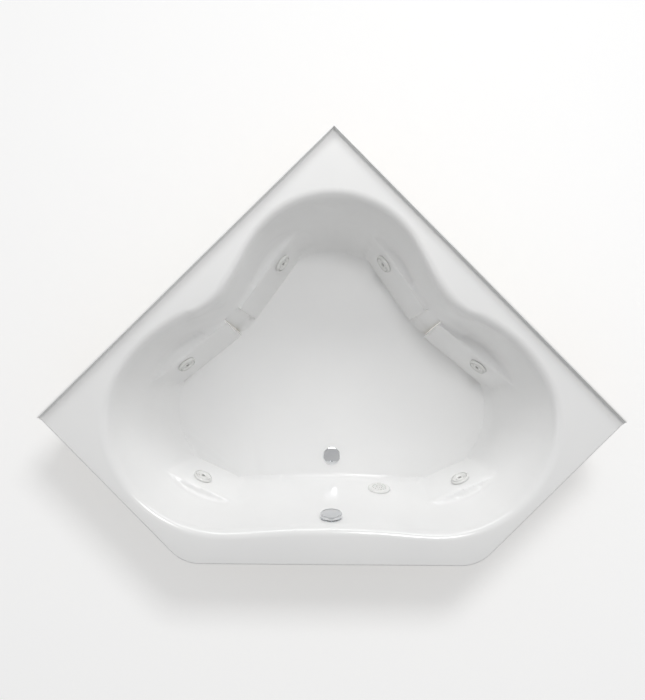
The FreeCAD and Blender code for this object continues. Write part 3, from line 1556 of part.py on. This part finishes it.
def pump_pipes():
    """The suction pipe from the fitting to the pump, and the riser to the water line."""
    start, level = suction_frame()
    first = start + level * (2 * S.SuctionBarrelRadius - S.SocketDepth)
    port = PUMP - PUMP_BACK * S.SuctionPortLength
    lead = port - PUMP_BACK * 3 * S.SuctionPipeRadius
    corner = start + level * 6 * S.SuctionPipeRadius
    route = [first, corner, lead, port + PUMP_BACK * S.SocketDepth]
    feature("suction_pipe", tube(route, S.SuctionPipeRadius, S.SuctionPipeRadius - S.PipeWall))
    foot = Vector(LINE_MEET.x, LINE_MEET.y, S.PumpAxisHeight + S.PortTop - S.RiserDepth)
    height = LINE_MEET.z - foot.z
    along = (MEET_END - MEET_START).normalize()
    end = LINE_MEET - along * S.MeetTeeLength / 2
    riser = Part.makeCylinder(S.PipeRadius, height, foot)
    riser = riser.fuse(Part.makeCylinder(S.TeeRadius, S.MeetTeeLength, end, along))
    riser = riser.cut(Part.makeCylinder(S.PipeRadius - S.PipeWall, height, foot))
    riser = riser.cut(
        Part.makeCylinder(S.PipeRadius + S.MeetTeeGap, S.MeetTeeLength, end, along)
    )
    feature("discharge_pipe", riser.removeSplitter())


pump_volute()
pump_rotor()
pump_motor()
motor_fan_cover()
terminal_box()
pump_base()
pump_pipes()


# ---------------------------------------------------------------- check and write
doc.recompute()
for thing in doc.Objects:
    if "Invalid" in thing.State or "Error" in thing.State:
        raise RuntimeError(f"{thing.Name} failed: {thing.State}")
for thing in NODES:
    if thing.Shape.isNull() or not thing.Shape.isValid() or not thing.Shape.Solids:
        raise RuntimeError(f"{thing.Label} has no sound shape")

os.makedirs("parts", exist_ok=True)
for thing in NODES:
    thing.Shape.exportStep(f"parts/{thing.Label}.step")
print(f"{len(NODES)} sub-parts written")
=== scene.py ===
# %% [markdown]
# # A corner bath with jets
# The bath is a white acrylic shell on a timber frame, with water jets, a pop-up waste, a pump and
# its pipes below the deck. The engineering model already holds every piece at its real size, so
# this lesson gives each one its finish, softens the shell, adds the small parts that a fitter
# would add, and sets up a plain studio that is seen from straight above. Everything is in metres,
# with +Z up and +Y towards the corner of the room.

# %% Load the frame
import bmesh
import bpy
import json
import math
from mathutils import Matrix, Vector

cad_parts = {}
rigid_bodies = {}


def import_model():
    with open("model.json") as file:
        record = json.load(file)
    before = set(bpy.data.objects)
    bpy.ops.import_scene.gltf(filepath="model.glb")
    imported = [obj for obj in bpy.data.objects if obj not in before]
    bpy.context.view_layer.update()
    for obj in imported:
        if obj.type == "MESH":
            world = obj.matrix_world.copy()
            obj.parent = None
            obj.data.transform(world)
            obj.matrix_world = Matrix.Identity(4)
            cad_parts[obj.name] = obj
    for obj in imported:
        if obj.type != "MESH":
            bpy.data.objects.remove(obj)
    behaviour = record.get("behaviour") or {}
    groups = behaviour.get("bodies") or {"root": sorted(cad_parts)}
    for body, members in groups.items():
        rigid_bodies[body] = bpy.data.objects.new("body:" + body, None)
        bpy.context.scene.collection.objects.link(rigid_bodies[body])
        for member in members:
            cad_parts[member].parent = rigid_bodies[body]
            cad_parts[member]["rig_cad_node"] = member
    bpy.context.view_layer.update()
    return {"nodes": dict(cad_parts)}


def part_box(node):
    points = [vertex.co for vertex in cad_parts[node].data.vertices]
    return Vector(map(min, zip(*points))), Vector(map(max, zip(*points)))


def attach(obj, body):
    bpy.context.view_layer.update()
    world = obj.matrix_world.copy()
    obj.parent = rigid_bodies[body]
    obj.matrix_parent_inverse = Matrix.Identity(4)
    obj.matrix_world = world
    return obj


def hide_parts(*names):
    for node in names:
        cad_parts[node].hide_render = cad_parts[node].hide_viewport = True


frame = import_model()
NODES = frame["nodes"]
MM = 0.001
FLANGE_HIGH = 25 * MM
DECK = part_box("tub_shell")[1].z - FLANGE_HIGH
SMOOTH_ANGLE = math.radians(30)
print(len(NODES), "nodes, deck at", round(DECK, 3))

# %% [markdown]
# ## The camera
# The bath is seen from straight above, about 3.3 m over the deck. The camera sits over the
# middle line of the bath, a little turned, and the lens takes in 2.57 m along the tall side of
# the picture at deck height. The picture's centre lies a little to the left of the spot under the
# camera, which is what the lens shift is for.

# %% Camera
PICTURE_HIGH = 700
VIEW_HEIGHT = 3.3
VIEW_SPAN = 2.5655
ROLL = math.radians(0.45)
NADIR_RIGHT = 10
NADIR_UP = 3
NADIR_Y = -4 * MM

camera_data = bpy.data.cameras.new("camera")
camera = bpy.data.objects.new("camera", camera_data)
bpy.context.scene.collection.objects.link(camera)
bpy.context.scene.camera = camera
camera.location = (0, NADIR_Y, DECK + VIEW_HEIGHT)
camera.rotation_euler = (0, 0, ROLL)
camera_data.lens = camera_data.sensor_width * VIEW_HEIGHT / VIEW_SPAN
camera_data.shift_x = -NADIR_RIGHT / PICTURE_HIGH
camera_data.shift_y = -NADIR_UP / PICTURE_HIGH
print("lens", round(camera_data.lens, 2), "mm")

# %% [markdown]
# ## Building materials from nodes
# Every finish here is made from a few nodes: one Principled shader, and noise that reads Object
# coordinates, so the pattern stays on the piece. A small helper keeps each finish short to write.

# %% Helpers for materials
NOISE_LOW = 0.3
NOISE_HIGH = 0.7


class Finish:
    """A new material with a Principled shader and short ways to add nodes."""

    def __init__(self, name, colour, roughness, metallic=0.0):
        self.material = bpy.data.materials.new(name)
        self.material.use_nodes = True
        self.nodes = self.material.node_tree.nodes
        self.links = self.material.node_tree.links
        self.shader = self.nodes["Principled BSDF"]
        self.shader.inputs["Base Color"].default_value = (*colour, 1)
        self.shader.inputs["Roughness"].default_value = roughness
        self.shader.inputs["Metallic"].default_value = metallic
        self.material.diffuse_color = (*colour, 1)
        self.place = self.add("ShaderNodeTexCoord").outputs["Object"]

    def add(self, kind, **settings):
        """A node with its settings: those of a socket by its name, the rest on the node."""
        node = self.nodes.new(kind)
        for key, value in settings.items():
            if hasattr(node, key):
                setattr(node, key, value)
            else:
                node.inputs[key.replace("_", " ")].default_value = value
        return node

    def link(self, source, target):
        """A wire from one socket to another."""
        self.links.new(source, target)

    def stretched(self, scale):
        """The object's coordinates, stretched along its axes."""
        mapping = self.add("ShaderNodeMapping", Scale=scale)
        self.link(self.place, mapping.inputs["Vector"])
        return mapping.outputs["Vector"]

    def noise(self, size, detail=3.0, where=None):
        """Noise whose lumps are about size metres across."""
        node = self.add("ShaderNodeTexNoise", Scale=1 / size, Detail=detail)
        self.link(where or self.place, node.inputs["Vector"])
        return node.outputs["Fac"]

    def spread(self, source, low, high):
        """A value from 0 to 1 spread between two limits."""
        node = self.add("ShaderNodeMapRange", From_Min=NOISE_LOW, From_Max=NOISE_HIGH,
                        To_Min=low, To_Max=high)
        self.link(source, node.inputs["Value"])
        return node.outputs["Result"]

    def tint(self, source, dark, light):
        """Base colour that varies between two tones."""
        ramp = self.add("ShaderNodeValToRGB")
        stops = zip(ramp.color_ramp.elements, (NOISE_LOW, NOISE_HIGH), (dark, light))
        for stop, place, colour in stops:
            stop.position = place
            stop.color = (*colour, 1)
        self.link(source, ramp.inputs["Fac"])
        self.link(ramp.outputs["Color"], self.shader.inputs["Base Color"])

    def sheen_of(self, source, low, high):
        """Roughness that varies between two limits."""
        self.link(self.spread(source, low, high), self.shader.inputs["Roughness"])

    def bump(self, source, height, strength=1.0):
        """Fine relief of a height in metres."""
        node = self.add("ShaderNodeBump", Strength=strength, Distance=height)
        self.link(source, node.inputs["Height"])
        self.link(node.outputs["Normal"], self.shader.inputs["Normal"])


def dress(material, *names):
    """Give CAD nodes a finish in every slot they have."""
    for name in names:
        mesh = NODES[name].data
        if not mesh.materials:
            mesh.materials.append(material)
        for i in range(len(mesh.materials)):
            mesh.materials[i] = material
    print(material.name, "on", len(names), "nodes")


def named(*starts):
    """The CAD nodes whose names start with one of these words."""
    return [name for name in sorted(NODES) if name.startswith(starts)]


# %% [markdown]
# ## White acrylic with a laminated back
# The shell is one sheet of cast acrylic, drawn over a mould. Its face is bright white and glossy,
# with a very faint unevenness that only shows in reflections. Its back is stiffened with chopped
# glass fibre in resin, which is dull, cream coloured and rough. They are two finishes of one
# piece, so the mesh gets two slots further on.

# %% Acrylic and its back
acrylic = Finish("white_acrylic", (0.9, 0.9, 0.895), 0.16)
acrylic.shader.inputs["IOR"].default_value = 1.49
acrylic.tint(acrylic.noise(0.35), (0.895, 0.896, 0.893), (0.92, 0.92, 0.914))
acrylic.sheen_of(acrylic.noise(0.06), 0.12, 0.2)

laminate = Finish("glass_fibre_back", (0.72, 0.68, 0.57), 0.6)
fibres = laminate.noise(0.006, detail=5.0, where=laminate.stretched((1, 1, 0.4)))
laminate.tint(fibres, (0.62, 0.58, 0.47), (0.8, 0.77, 0.66))
laminate.sheen_of(fibres, 0.5, 0.75)
laminate.bump(fibres, 0.0012)
dress(acrylic.material, "tub_shell")

# %% [markdown]
# ## Faces round the pads
# The sheet is drawn over a mould while it is hot, so nothing on its face is sharp: the flat pads
# that carry the jets flow into the walls around them. The engineering solid has crisp pads, so a
# copy of its mesh is rubbed down there. The first task is to tell the faces round the pads from
# all the others. A walk starts on each jet's pad and goes from face to face. It keeps out of the
# holes of the fittings, off the floor and the lip, and off the back of the sheet.

# %% Faces round the pads
PAD_REACH = 0.34
SEAT_HOLE = 0.036
SEAT_RIM = 0.044
HOLE_ROOM = 0.06
FOOT_LEVEL = 0.0785
LIP_LEVEL = DECK - 0.05
START_TURN = 0.05
OUTER_TURN = -0.15


def middle(name):
    """The middle of a CAD node's box."""
    low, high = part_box(name)
    return (low + high) / 2


def away(point, spots):
    """How far a point is from the nearest of some spots."""
    return min((point - spot).length for spot in spots)


SEATS = [middle(name) for name in named("jet_bezel")]
HOLES = [middle("suction_cover"), middle("overflow_plate")]


def from_seat(point):
    """How far a point is from the middle of the nearest jet."""
    return away(point, SEATS)


def round_the_pads(work):
    """Faces of the basin round the pads, found by walking over it from each jet's seat."""
    near = {}
    for face in work.faces:
        spot = face.calc_center_median()
        on_the_wall = FOOT_LEVEL < spot.z < LIP_LEVEL and away(spot, HOLES) > HOLE_ROOM
        inner = face.normal.z > OUTER_TURN
        if on_the_wall and inner and SEAT_HOLE < from_seat(spot) < PAD_REACH:
            near[face] = spot
    upward = [face for face in near if face.normal.z > START_TURN]
    waiting = [min(upward, key=lambda face: (near[face] - seat).length) for seat in SEATS]
    found = set(waiting)
    while waiting:
        for edge in waiting.pop().edges:
            for face in edge.link_faces:
                if face in near and face not in found:
                    found.add(face)
                    waiting.append(face)
    return found


print(len(SEATS), "seats,", len(HOLES), "holes kept clear")

# %% [markdown]
# ## Small, even triangles
# A mesh can only be smoothed well where it is fine and even. The copy is merged into one skin.
# Then the long edges round the pads are cut in half, over and over, and each time the triangles
# on flat ground are laid out anew so that few of them are slivers.

# %% A fine copy of the shell
MERGE_GAP = MM / 50
LONGEST_EDGE = 0.012
SPLITS = 6
FLAT_ANGLE = math.radians(12)

bpy.ops.object.select_all(action="DESELECT")
shell = NODES["tub_shell"].copy()
shell.data = NODES["tub_shell"].data.copy()
shell.name = "moulded_shell"
del shell["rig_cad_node"]
bpy.context.scene.collection.objects.link(shell)
bpy.context.view_layer.objects.active = shell
shell.select_set(True)
bpy.ops.mesh.customdata_custom_splitnormals_clear()
bpy.ops.object.mode_set(mode="EDIT")
bpy.ops.mesh.select_all(action="SELECT")
bpy.ops.mesh.remove_doubles(threshold=MERGE_GAP)
bpy.ops.mesh.select_mode(type="EDGE")
for turn in range(SPLITS):
    work = bmesh.from_edit_mesh(shell.data)
    region = round_the_pads(work)
    for face in work.faces:
        face.select_set(False)
    for face in region:
        for edge in face.edges:
            if edge.calc_length() > LONGEST_EDGE:
                edge.select_set(True)
    print("edges split", sum(edge.select for edge in work.edges))
    bpy.ops.mesh.subdivide(number_cuts=1)
    work = bmesh.from_edit_mesh(shell.data)
    region = round_the_pads(work)
    for face in work.faces:
        face.select_set(face in region)
    bpy.ops.mesh.quads_convert_to_tris()
    bpy.ops.mesh.beautify_fill(angle_limit=FLAT_ANGLE)

# %% [markdown]
# ## Rubbing down the pads
# All points beyond the rims of the jets' seats are drawn towards their neighbours, as one would
# rub down a clay model. Far from the jets, where the pads end in steep steps, they get many more
# turns. There a point may fill a hollow by up to 20 mm, but it may cut into the sheet by little
# more than 1 mm, so that the face doesn't break through the back.

# %% Smooth the pads
SMOOTH_FACTOR = 0.5
SMOOTHINGS = 9
END_START = 0.16
END_TURNS = 12
END_SMOOTHINGS = 3
MOST_FILL = 0.02
MOST_CUT = 0.0012

bpy.ops.mesh.select_mode(type="VERT")
work = bmesh.from_edit_mesh(shell.data)
region = round_the_pads(work)
for corner in work.verts:
    inside = all(face in region for face in corner.link_faces)
    corner.select_set(inside and from_seat(corner.co) > SEAT_RIM)
start = {
    corner: (corner.co.copy(), corner.normal.copy()) for corner in work.verts if corner.select
}


def hold_back(corner):
    """Keep a point from going deep into the sheet or far out of it."""
    place, normal = start[corner]
    move = corner.co - place
    if from_seat(place) > END_START and move.dot(normal) < -MOST_CUT:
        move -= normal * (move.dot(normal) + MOST_CUT)
    if move.length > MOST_FILL:
        move *= MOST_FILL / move.length
    corner.co = place + move


bpy.ops.mesh.vertices_smooth(factor=SMOOTH_FACTOR, repeat=SMOOTHINGS)
for corner in start:
    corner.select_set(from_seat(corner.co) > END_START)
for turn in range(END_TURNS):
    bpy.ops.mesh.vertices_smooth(factor=SMOOTH_FACTOR, repeat=END_SMOOTHINGS)
    for corner in start:
        hold_back(corner)
bmesh.update_edit_mesh(shell.data)
print("points smoothed", len(start))

# %% [markdown]
# ## Two finishes on one shell
# Faces that look downwards and weren't rubbed down are the back of the sheet or the underside of
# the deck, and they take the laminate. The shell rides with the bath and stands in for the
# engineering piece that it was copied from.

# %% Dress the shell
BACK_TURN = -0.06

for face in work.faces:
    face.material_index = int(face not in region and face.normal.z < BACK_TURN)
bpy.ops.object.mode_set(mode="OBJECT")
shell.data.materials.append(laminate.material)
bpy.ops.object.shade_smooth_by_angle(angle=SMOOTH_ANGLE)
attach(shell, "bath")
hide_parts("tub_shell")
print("moulded shell", len(shell.data.polygons), "faces")

# %% [markdown]
# ## Moulded trim and fittings
# The jet faces match the shell in colour but are injection moulded, so they are a little warmer
# and carry a very fine grain. The fittings behind the shell are plain white pipe plastic.

# %% Plastics
trim = Finish("white_trim", (0.84, 0.84, 0.825), 0.24)
trim.tint(trim.noise(0.02), (0.83, 0.83, 0.815), (0.86, 0.86, 0.845))
trim.bump(trim.noise(0.0012), 0.00003, strength=0.4)
dress(trim.material, *named("jet_bezel", "jet_nozzle", "suction_cover"))

fitting = Finish("fitting_plastic", (0.78, 0.78, 0.76), 0.42)
fitting.tint(fitting.noise(0.03), (0.74, 0.74, 0.715), (0.81, 0.81, 0.79))
fitting.sheen_of(fitting.noise(0.01), 0.36, 0.5)
fitting.bump(fitting.noise(0.0015), 0.00006, strength=0.5)
dress(fitting.material, *named("jet_body", "jet_nuts", "suction_body", "suction_nut", "slip_nuts"))

pipe = Finish("pipe_plastic", (0.83, 0.83, 0.81), 0.33)
pipe.tint(pipe.noise(0.05), (0.8, 0.8, 0.775), (0.86, 0.86, 0.845))
pipe.sheen_of(pipe.noise(0.02), 0.27, 0.4)
dress(pipe.material, "water_lines", "suction_pipe", "discharge_pipe")

hose = Finish("hose_plastic", (0.72, 0.78, 0.8), 0.25)
hose.shader.inputs["Transmission Weight"].default_value = 0.35
hose.tint(hose.noise(0.04), (0.68, 0.74, 0.77), (0.77, 0.82, 0.84))
hose.sheen_of(hose.noise(0.01), 0.2, 0.34)
dress(hose.material, "air_lines")

black = Finish("black_plastic", (0.03, 0.03, 0.032), 0.45)
black.tint(black.noise(0.02), (0.022, 0.022, 0.024), (0.045, 0.045, 0.048))
black.sheen_of(black.noise(0.004), 0.38, 0.55)
black.bump(black.noise(0.0014), 0.0001, strength=0.6)
dress(black.material, "pump_volute", "motor_fan_cover", "terminal_box", "pump_base")

rubber = Finish("soft_rubber", (0.025, 0.025, 0.025), 0.75)
rubber.tint(rubber.noise(0.01), (0.018, 0.018, 0.018), (0.04, 0.04, 0.04))
rubber.bump(rubber.noise(0.002), 0.0001, strength=0.5)
dress(rubber.material, "jet_gaskets", "waste_gaskets", "stopper_seal")

# %% [markdown]
# ## Metals
# Chrome is a perfect mirror with hardly any roughness. The hidden waste is raw cast brass, which
# is dull and mottled, and thin steel tube. Brushed steel has its roughness drawn out along the
# turning direction, which a stretched noise gives.

# %% Metals
chrome = Finish("polished_chrome", (0.75, 0.76, 0.78), 0.06, metallic=1.0)
chrome.sheen_of(chrome.noise(0.008), 0.04, 0.1)
chrome.tint(chrome.noise(0.05), (0.73, 0.74, 0.76), (0.78, 0.79, 0.8))
dress(chrome.material, "drain_stopper", "drain_flange", "overflow_plate", "overflow_knob")

brass = Finish("cast_brass", (0.6, 0.45, 0.2), 0.4, metallic=1.0)
brass.tint(brass.noise(0.012, detail=6.0), (0.42, 0.3, 0.14), (0.68, 0.53, 0.26))
brass.sheen_of(brass.noise(0.006), 0.3, 0.55)
brass.bump(brass.noise(0.0018), 0.00025, strength=0.7)
dress(brass.material, "drain_shoe", "waste_tee", "overflow_elbow")

steel = Finish("turned_steel", (0.55, 0.56, 0.57), 0.28, metallic=1.0)
steel.sheen_of(steel.noise(0.002, where=steel.stretched((1, 1, 0.05))), 0.2, 0.4)
steel.tint(steel.noise(0.03), (0.5, 0.51, 0.52), (0.6, 0.61, 0.62))
dress(steel.material, "waste_tube", "overflow_tube", "tailpiece", "pump_rotor")

paint = Finish("motor_paint", (0.07, 0.09, 0.11), 0.38)
paint.tint(paint.noise(0.03), (0.055, 0.072, 0.09), (0.085, 0.105, 0.13))
paint.sheen_of(paint.noise(0.005), 0.3, 0.48)
paint.bump(paint.noise(0.0025), 0.00012, strength=0.5)
dress(paint.material, "pump_motor")

# %% [markdown]
# ## Timber
# Sawn softwood has long grain. A wave texture bent by noise gives the growth rings, drawn out
# along the length of each piece. The pieces lie in different directions, so the finish is made
# once for each direction, with the rings turned to follow the wood.

# %% Timber


def timber(name, along):
    """Softwood whose grain runs along a level angle in degrees, or upright where it is None."""
    wood = Finish(name, (0.6, 0.43, 0.25), 0.62)
    turn = wood.add("ShaderNodeMapping")
    turn.inputs["Rotation"].default_value = (
        (0, math.radians(90), 0) if along is None else (0, 0, -math.radians(along))
    )
    wood.link(wood.place, turn.inputs["Vector"])
    drawn = wood.add("ShaderNodeMapping", Scale=(0.06, 1, 1))
    wood.link(turn.outputs["Vector"], drawn.inputs["Vector"])
    grain = drawn.outputs["Vector"]
    rings = wood.add("ShaderNodeTexWave", wave_type="RINGS", rings_direction="X",
                     Scale=22.0, Distortion=5.0, Detail=3.0)
    wood.link(grain, rings.inputs["Vector"])
    wood.tint(rings.outputs["Fac"], (0.5, 0.33, 0.17), (0.7, 0.53, 0.33))
    wood.sheen_of(wood.noise(0.01, where=grain), 0.52, 0.75)
    wood.bump(wood.noise(0.0025, where=grain), 0.0004, strength=0.6)
    return wood.material


dress(timber("timber_x", 0), "base_board", "deck_batten_front")
dress(timber("timber_y", 90), *named("base_runner"))
dress(timber("timber_right", -45), "deck_batten_back_right", "deck_batten_left_return")
dress(timber("timber_left", 45), "deck_batten_back_left", "deck_batten_right_return")
dress(timber("timber_up", None), "back_post", "left_post", "right_post", "front_left_post",
      "front_right_post")

# %% [markdown]
# ## Bolts of the pump's base
# A hexagon bolt with a washer holds each corner of the pump's base to the floor. One bolt is
# modelled at the origin: a round washer and a six-sided head, both with their top edges bevelled.
# Four copies, each with a mesh of its own, then go to the corners of the base, which are found
# from its mesh because it stands at 45 degrees.

# %% Base bolts
PUMP_ALONG = Vector((1, 1, 0)).normalized()
PUMP_ACROSS = Vector((1, -1, 0)).normalized()
WASHER_RADIUS = 9 * MM
WASHER_THICK = 1.6 * MM
WASHER_SIDES = 40
WASHER_BEVEL = 0.5 * MM
HEAD_RADIUS = 6.5 * MM
HEAD_HIGH = 5.3 * MM
HEAD_SIDES = 6
HEAD_BEVEL = 0.7 * MM
BOLT_INSET = 15 * MM
BASE_TOP = 10 * MM
LEVEL_SLACK = 0.1 * MM
TOP_TURN = 0.9


def pick_faces(thing, test):
    """Select the faces in edit mode whose middle and normal pass a test, and no others."""
    bpy.ops.mesh.select_all(action="DESELECT")
    work = bmesh.from_edit_mesh(thing.data)
    for face in work.faces:
        if test(face.calc_center_median(), face.normal):
            face.select_set(True)
    bmesh.update_edit_mesh(thing.data)


def corners_at(name, level, inset):
    """The four corners of a node's outline at a level, moved inwards."""
    corners = [corner.co for corner in NODES[name].data.vertices]
    points = [spot for spot in corners if abs(spot.z - level) < LEVEL_SLACK]
    along = [point.dot(PUMP_ALONG) for point in points]
    across = [point.dot(PUMP_ACROSS) for point in points]
    return [
        PUMP_ALONG * a + PUMP_ACROSS * b
        for a in (min(along) + inset, max(along) - inset)
        for b in (min(across) + inset, max(across) - inset)
    ]


def copies(model, name, places, finish):
    """Copies of a finished model, each with its own mesh, and the model taken away."""
    for number, place in enumerate(places, start=1):
        thing = model.copy()
        thing.data = model.data.copy()
        thing.name = f"{name}_{number}"
        thing.data.transform(Matrix.Translation(place))
        thing.data.materials.append(finish.material)
        bpy.context.scene.collection.objects.link(thing)
        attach(thing, "bath")
    bpy.data.objects.remove(model)
    print(name, len(places), "copies")


bpy.ops.object.select_all(action="DESELECT")
bpy.ops.mesh.primitive_cylinder_add(
    vertices=WASHER_SIDES,
    radius=WASHER_RADIUS,
    depth=WASHER_THICK,
    location=(0, 0, WASHER_THICK / 2),
)
bolt = bpy.context.object
bpy.ops.object.transform_apply(location=True)
bpy.ops.object.mode_set(mode="EDIT")
pick_faces(bolt, lambda spot, normal: normal.z > TOP_TURN)
bpy.ops.mesh.bevel(offset=WASHER_BEVEL, segments=2)
bpy.ops.mesh.select_all(action="DESELECT")
bpy.ops.mesh.primitive_cylinder_add(
    vertices=HEAD_SIDES,
    radius=HEAD_RADIUS,
    depth=HEAD_HIGH,
    location=(0, 0, WASHER_THICK + HEAD_HIGH / 2),
)
pick_faces(bolt, lambda spot, normal: normal.z > TOP_TURN and spot.z > 2 * WASHER_THICK)
bpy.ops.mesh.bevel(offset=HEAD_BEVEL, segments=2)
bpy.ops.object.mode_set(mode="OBJECT")
bpy.ops.object.shade_smooth_by_angle(angle=SMOOTH_ANGLE)
places = [spot + Vector((0, 0, BASE_TOP)) for spot in corners_at("pump_base", 0, BOLT_INSET)]
copies(bolt, "base_bolt", places, steel)

# %% [markdown]
# ## Screws of the terminal box
# Four small screws close the lid of the box on the motor. Each head is a short cylinder whose top
# edge is rounded and whose middle is inset and pushed down, which leaves the socket for the key.

# %% Box screws
SCREW_RADIUS = 3 * MM
SCREW_HIGH = 1.8 * MM
SCREW_SIDES = 24
SCREW_BEVEL = 0.6 * MM
SCREW_INSET = 8 * MM
SOCKET_RIM = 0.9 * MM
SOCKET_DISH = 0.3 * MM
SOCKET_DEEP = 0.8 * MM

bpy.ops.object.select_all(action="DESELECT")
bpy.ops.mesh.primitive_cylinder_add(
    vertices=SCREW_SIDES,
    radius=SCREW_RADIUS,
    depth=SCREW_HIGH,
    location=(0, 0, SCREW_HIGH / 2),
)
screw = bpy.context.object
bpy.ops.object.transform_apply(location=True)
bpy.ops.object.mode_set(mode="EDIT")
pick_faces(screw, lambda spot, normal: normal.z > TOP_TURN)
bpy.ops.mesh.bevel(offset=SCREW_BEVEL, segments=3)
pick_faces(screw, lambda spot, normal: normal.z > TOP_TURN and spot.z > 0.9 * SCREW_HIGH)
bpy.ops.mesh.inset(thickness=SOCKET_RIM)
bpy.ops.transform.translate(value=(0, 0, -SOCKET_DISH))
bpy.ops.mesh.extrude_region_move(TRANSFORM_OT_translate={"value": (0, 0, -SOCKET_DEEP)})
bpy.ops.object.mode_set(mode="OBJECT")
bpy.ops.object.shade_smooth_by_angle(angle=SMOOTH_ANGLE)
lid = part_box("terminal_box")[1].z
places = [spot + Vector((0, 0, lid)) for spot in corners_at("terminal_box", lid, SCREW_INSET)]
copies(screw, "box_screw", places, steel)

# %% [markdown]
# ## The studio
# The floor is a plain pale sheet. It takes the bath's soft shadow like any matt surface, and where
# the camera or a mirror looks at it, a little light of its own brings it up to nearly white. That
# light reaches nothing else, so it doesn't brighten the bath. The world gives an even, dim light
# from all around, and it too is brighter where the camera or a mirror looks at it.

# %% Floor and world
FLOOR_SIDE = 40.0
FLOOR_TOP = -0.5 * MM
FLOOR_GLOW = 0.4
WORLD_LEVEL = 0.33
WORLD_SEEN = 0.55


def seen(tree):
    """1 where the camera, a mirror or a clear piece looks, and 0 for all other light."""
    rays = tree.nodes.new("ShaderNodeLightPath")
    total = rays.outputs["Is Camera Ray"]
    for kind in ("Is Glossy Ray", "Is Transmission Ray"):
        either = tree.nodes.new("ShaderNodeMath")
        either.use_clamp = True
        tree.links.new(total, either.inputs[0])
        tree.links.new(rays.outputs[kind], either.inputs[1])
        total = either.outputs["Value"]
    return total


def between(tree, source, low, high):
    """A number that goes from low to high as the source goes from 0 to 1."""
    node = tree.nodes.new("ShaderNodeMapRange")
    node.inputs["To Min"].default_value = low
    node.inputs["To Max"].default_value = high
    tree.links.new(source, node.inputs["Value"])
    return node.outputs["Result"]


bpy.ops.object.select_all(action="DESELECT")
bpy.ops.mesh.primitive_plane_add(size=FLOOR_SIDE, location=(0, 0, FLOOR_TOP))
floor = bpy.context.object
floor.name = "studio_floor"
pale = Finish("pale_floor", (0.9, 0.9, 0.9), 0.9)
pale.shader.inputs["Specular IOR Level"].default_value = 0.0
tree = pale.material.node_tree
glow = pale.add("ShaderNodeEmission")
pale.link(between(tree, seen(tree), 0, FLOOR_GLOW), glow.inputs["Strength"])
both = pale.add("ShaderNodeAddShader")
pale.link(pale.shader.outputs["BSDF"], both.inputs[0])
pale.link(glow.outputs["Emission"], both.inputs[1])
pale.link(both.outputs["Shader"], pale.nodes["Material Output"].inputs["Surface"])
floor.data.materials.append(pale.material)

world = bpy.data.worlds.new("studio")
bpy.context.scene.world = world
world.use_nodes = True
air = world.node_tree
air.nodes["Background"].inputs["Color"].default_value = (1, 1, 1, 1)
level = between(air, seen(air), WORLD_LEVEL, WORLD_SEEN)
air.links.new(level, air.nodes["Background"].inputs["Strength"])
print("floor", FLOOR_SIDE, "m")

# %% [markdown]
# ## The lamps
# A wide lamp stands behind the corner of the bath, so the back wall of the basin lies in its own
# shade and the front wall is bright. Two weak lamps light the sides of the basin. These three are
# so low that the bath would throw long shadows on the floor, so the floor is spared their light.
# A smaller lamp high up on the right lights everything and gives the short soft shadow at the
# lower left, and a second one in the same place lights only the floor, to deepen that shadow.

# %% Lamps
BASIN_MIDDLE = Vector((0, -0.2, 0.3))
HIGH_RIGHT = (0.9, 2.3, 5.2)
LAMPS = {
    "back_lamp": ((0.1, 3.2, 2.4), (4.2, 1.0), 72),
    "top_lamp": (HIGH_RIGHT, (1.2, 1.2), 72),
    "left_lamp": ((-3.0, -0.8, 2.6), (1.5, 1.5), 10),
    "right_lamp": ((3.0, -0.8, 2.6), (1.5, 1.5), 7),
    "shadow_lamp": (HIGH_RIGHT, (1.2, 1.2), 30),
}


def lamp(name, place, size, power):
    """A rectangular area lamp at a place, aimed at the middle of the basin."""
    data = bpy.data.lights.new(name, "AREA")
    data.shape = "RECTANGLE"
    data.size, data.size_y = size
    data.energy = power
    thing = bpy.data.objects.new(name, data)
    thing.location = place
    aim = BASIN_MIDDLE - Vector(place)
    thing.rotation_euler = aim.to_track_quat("-Z", "Y").to_euler()
    bpy.context.scene.collection.objects.link(thing)
    return thing


def floor_lit(thing, state):
    """Let a lamp light only the floor, or everything but the floor."""
    group = bpy.data.collections.new("floor_" + thing.name)
    group.objects.link(floor)
    thing.light_linking.receiver_collection = group
    group.collection_objects[0].light_linking.link_state = state


lamps = {name: lamp(name, *settings) for name, settings in LAMPS.items()}
for name in ("back_lamp", "left_lamp", "right_lamp"):
    floor_lit(lamps[name], "EXCLUDE")
floor_lit(lamps["shadow_lamp"], "INCLUDE")
print(len(lamps), "lamps")

# %% [markdown]
# ## Colour
# The picture is shown without any look applied, so colours come out as they were written.

# %% Colour
bpy.context.scene.view_settings.view_transform = "Standard"
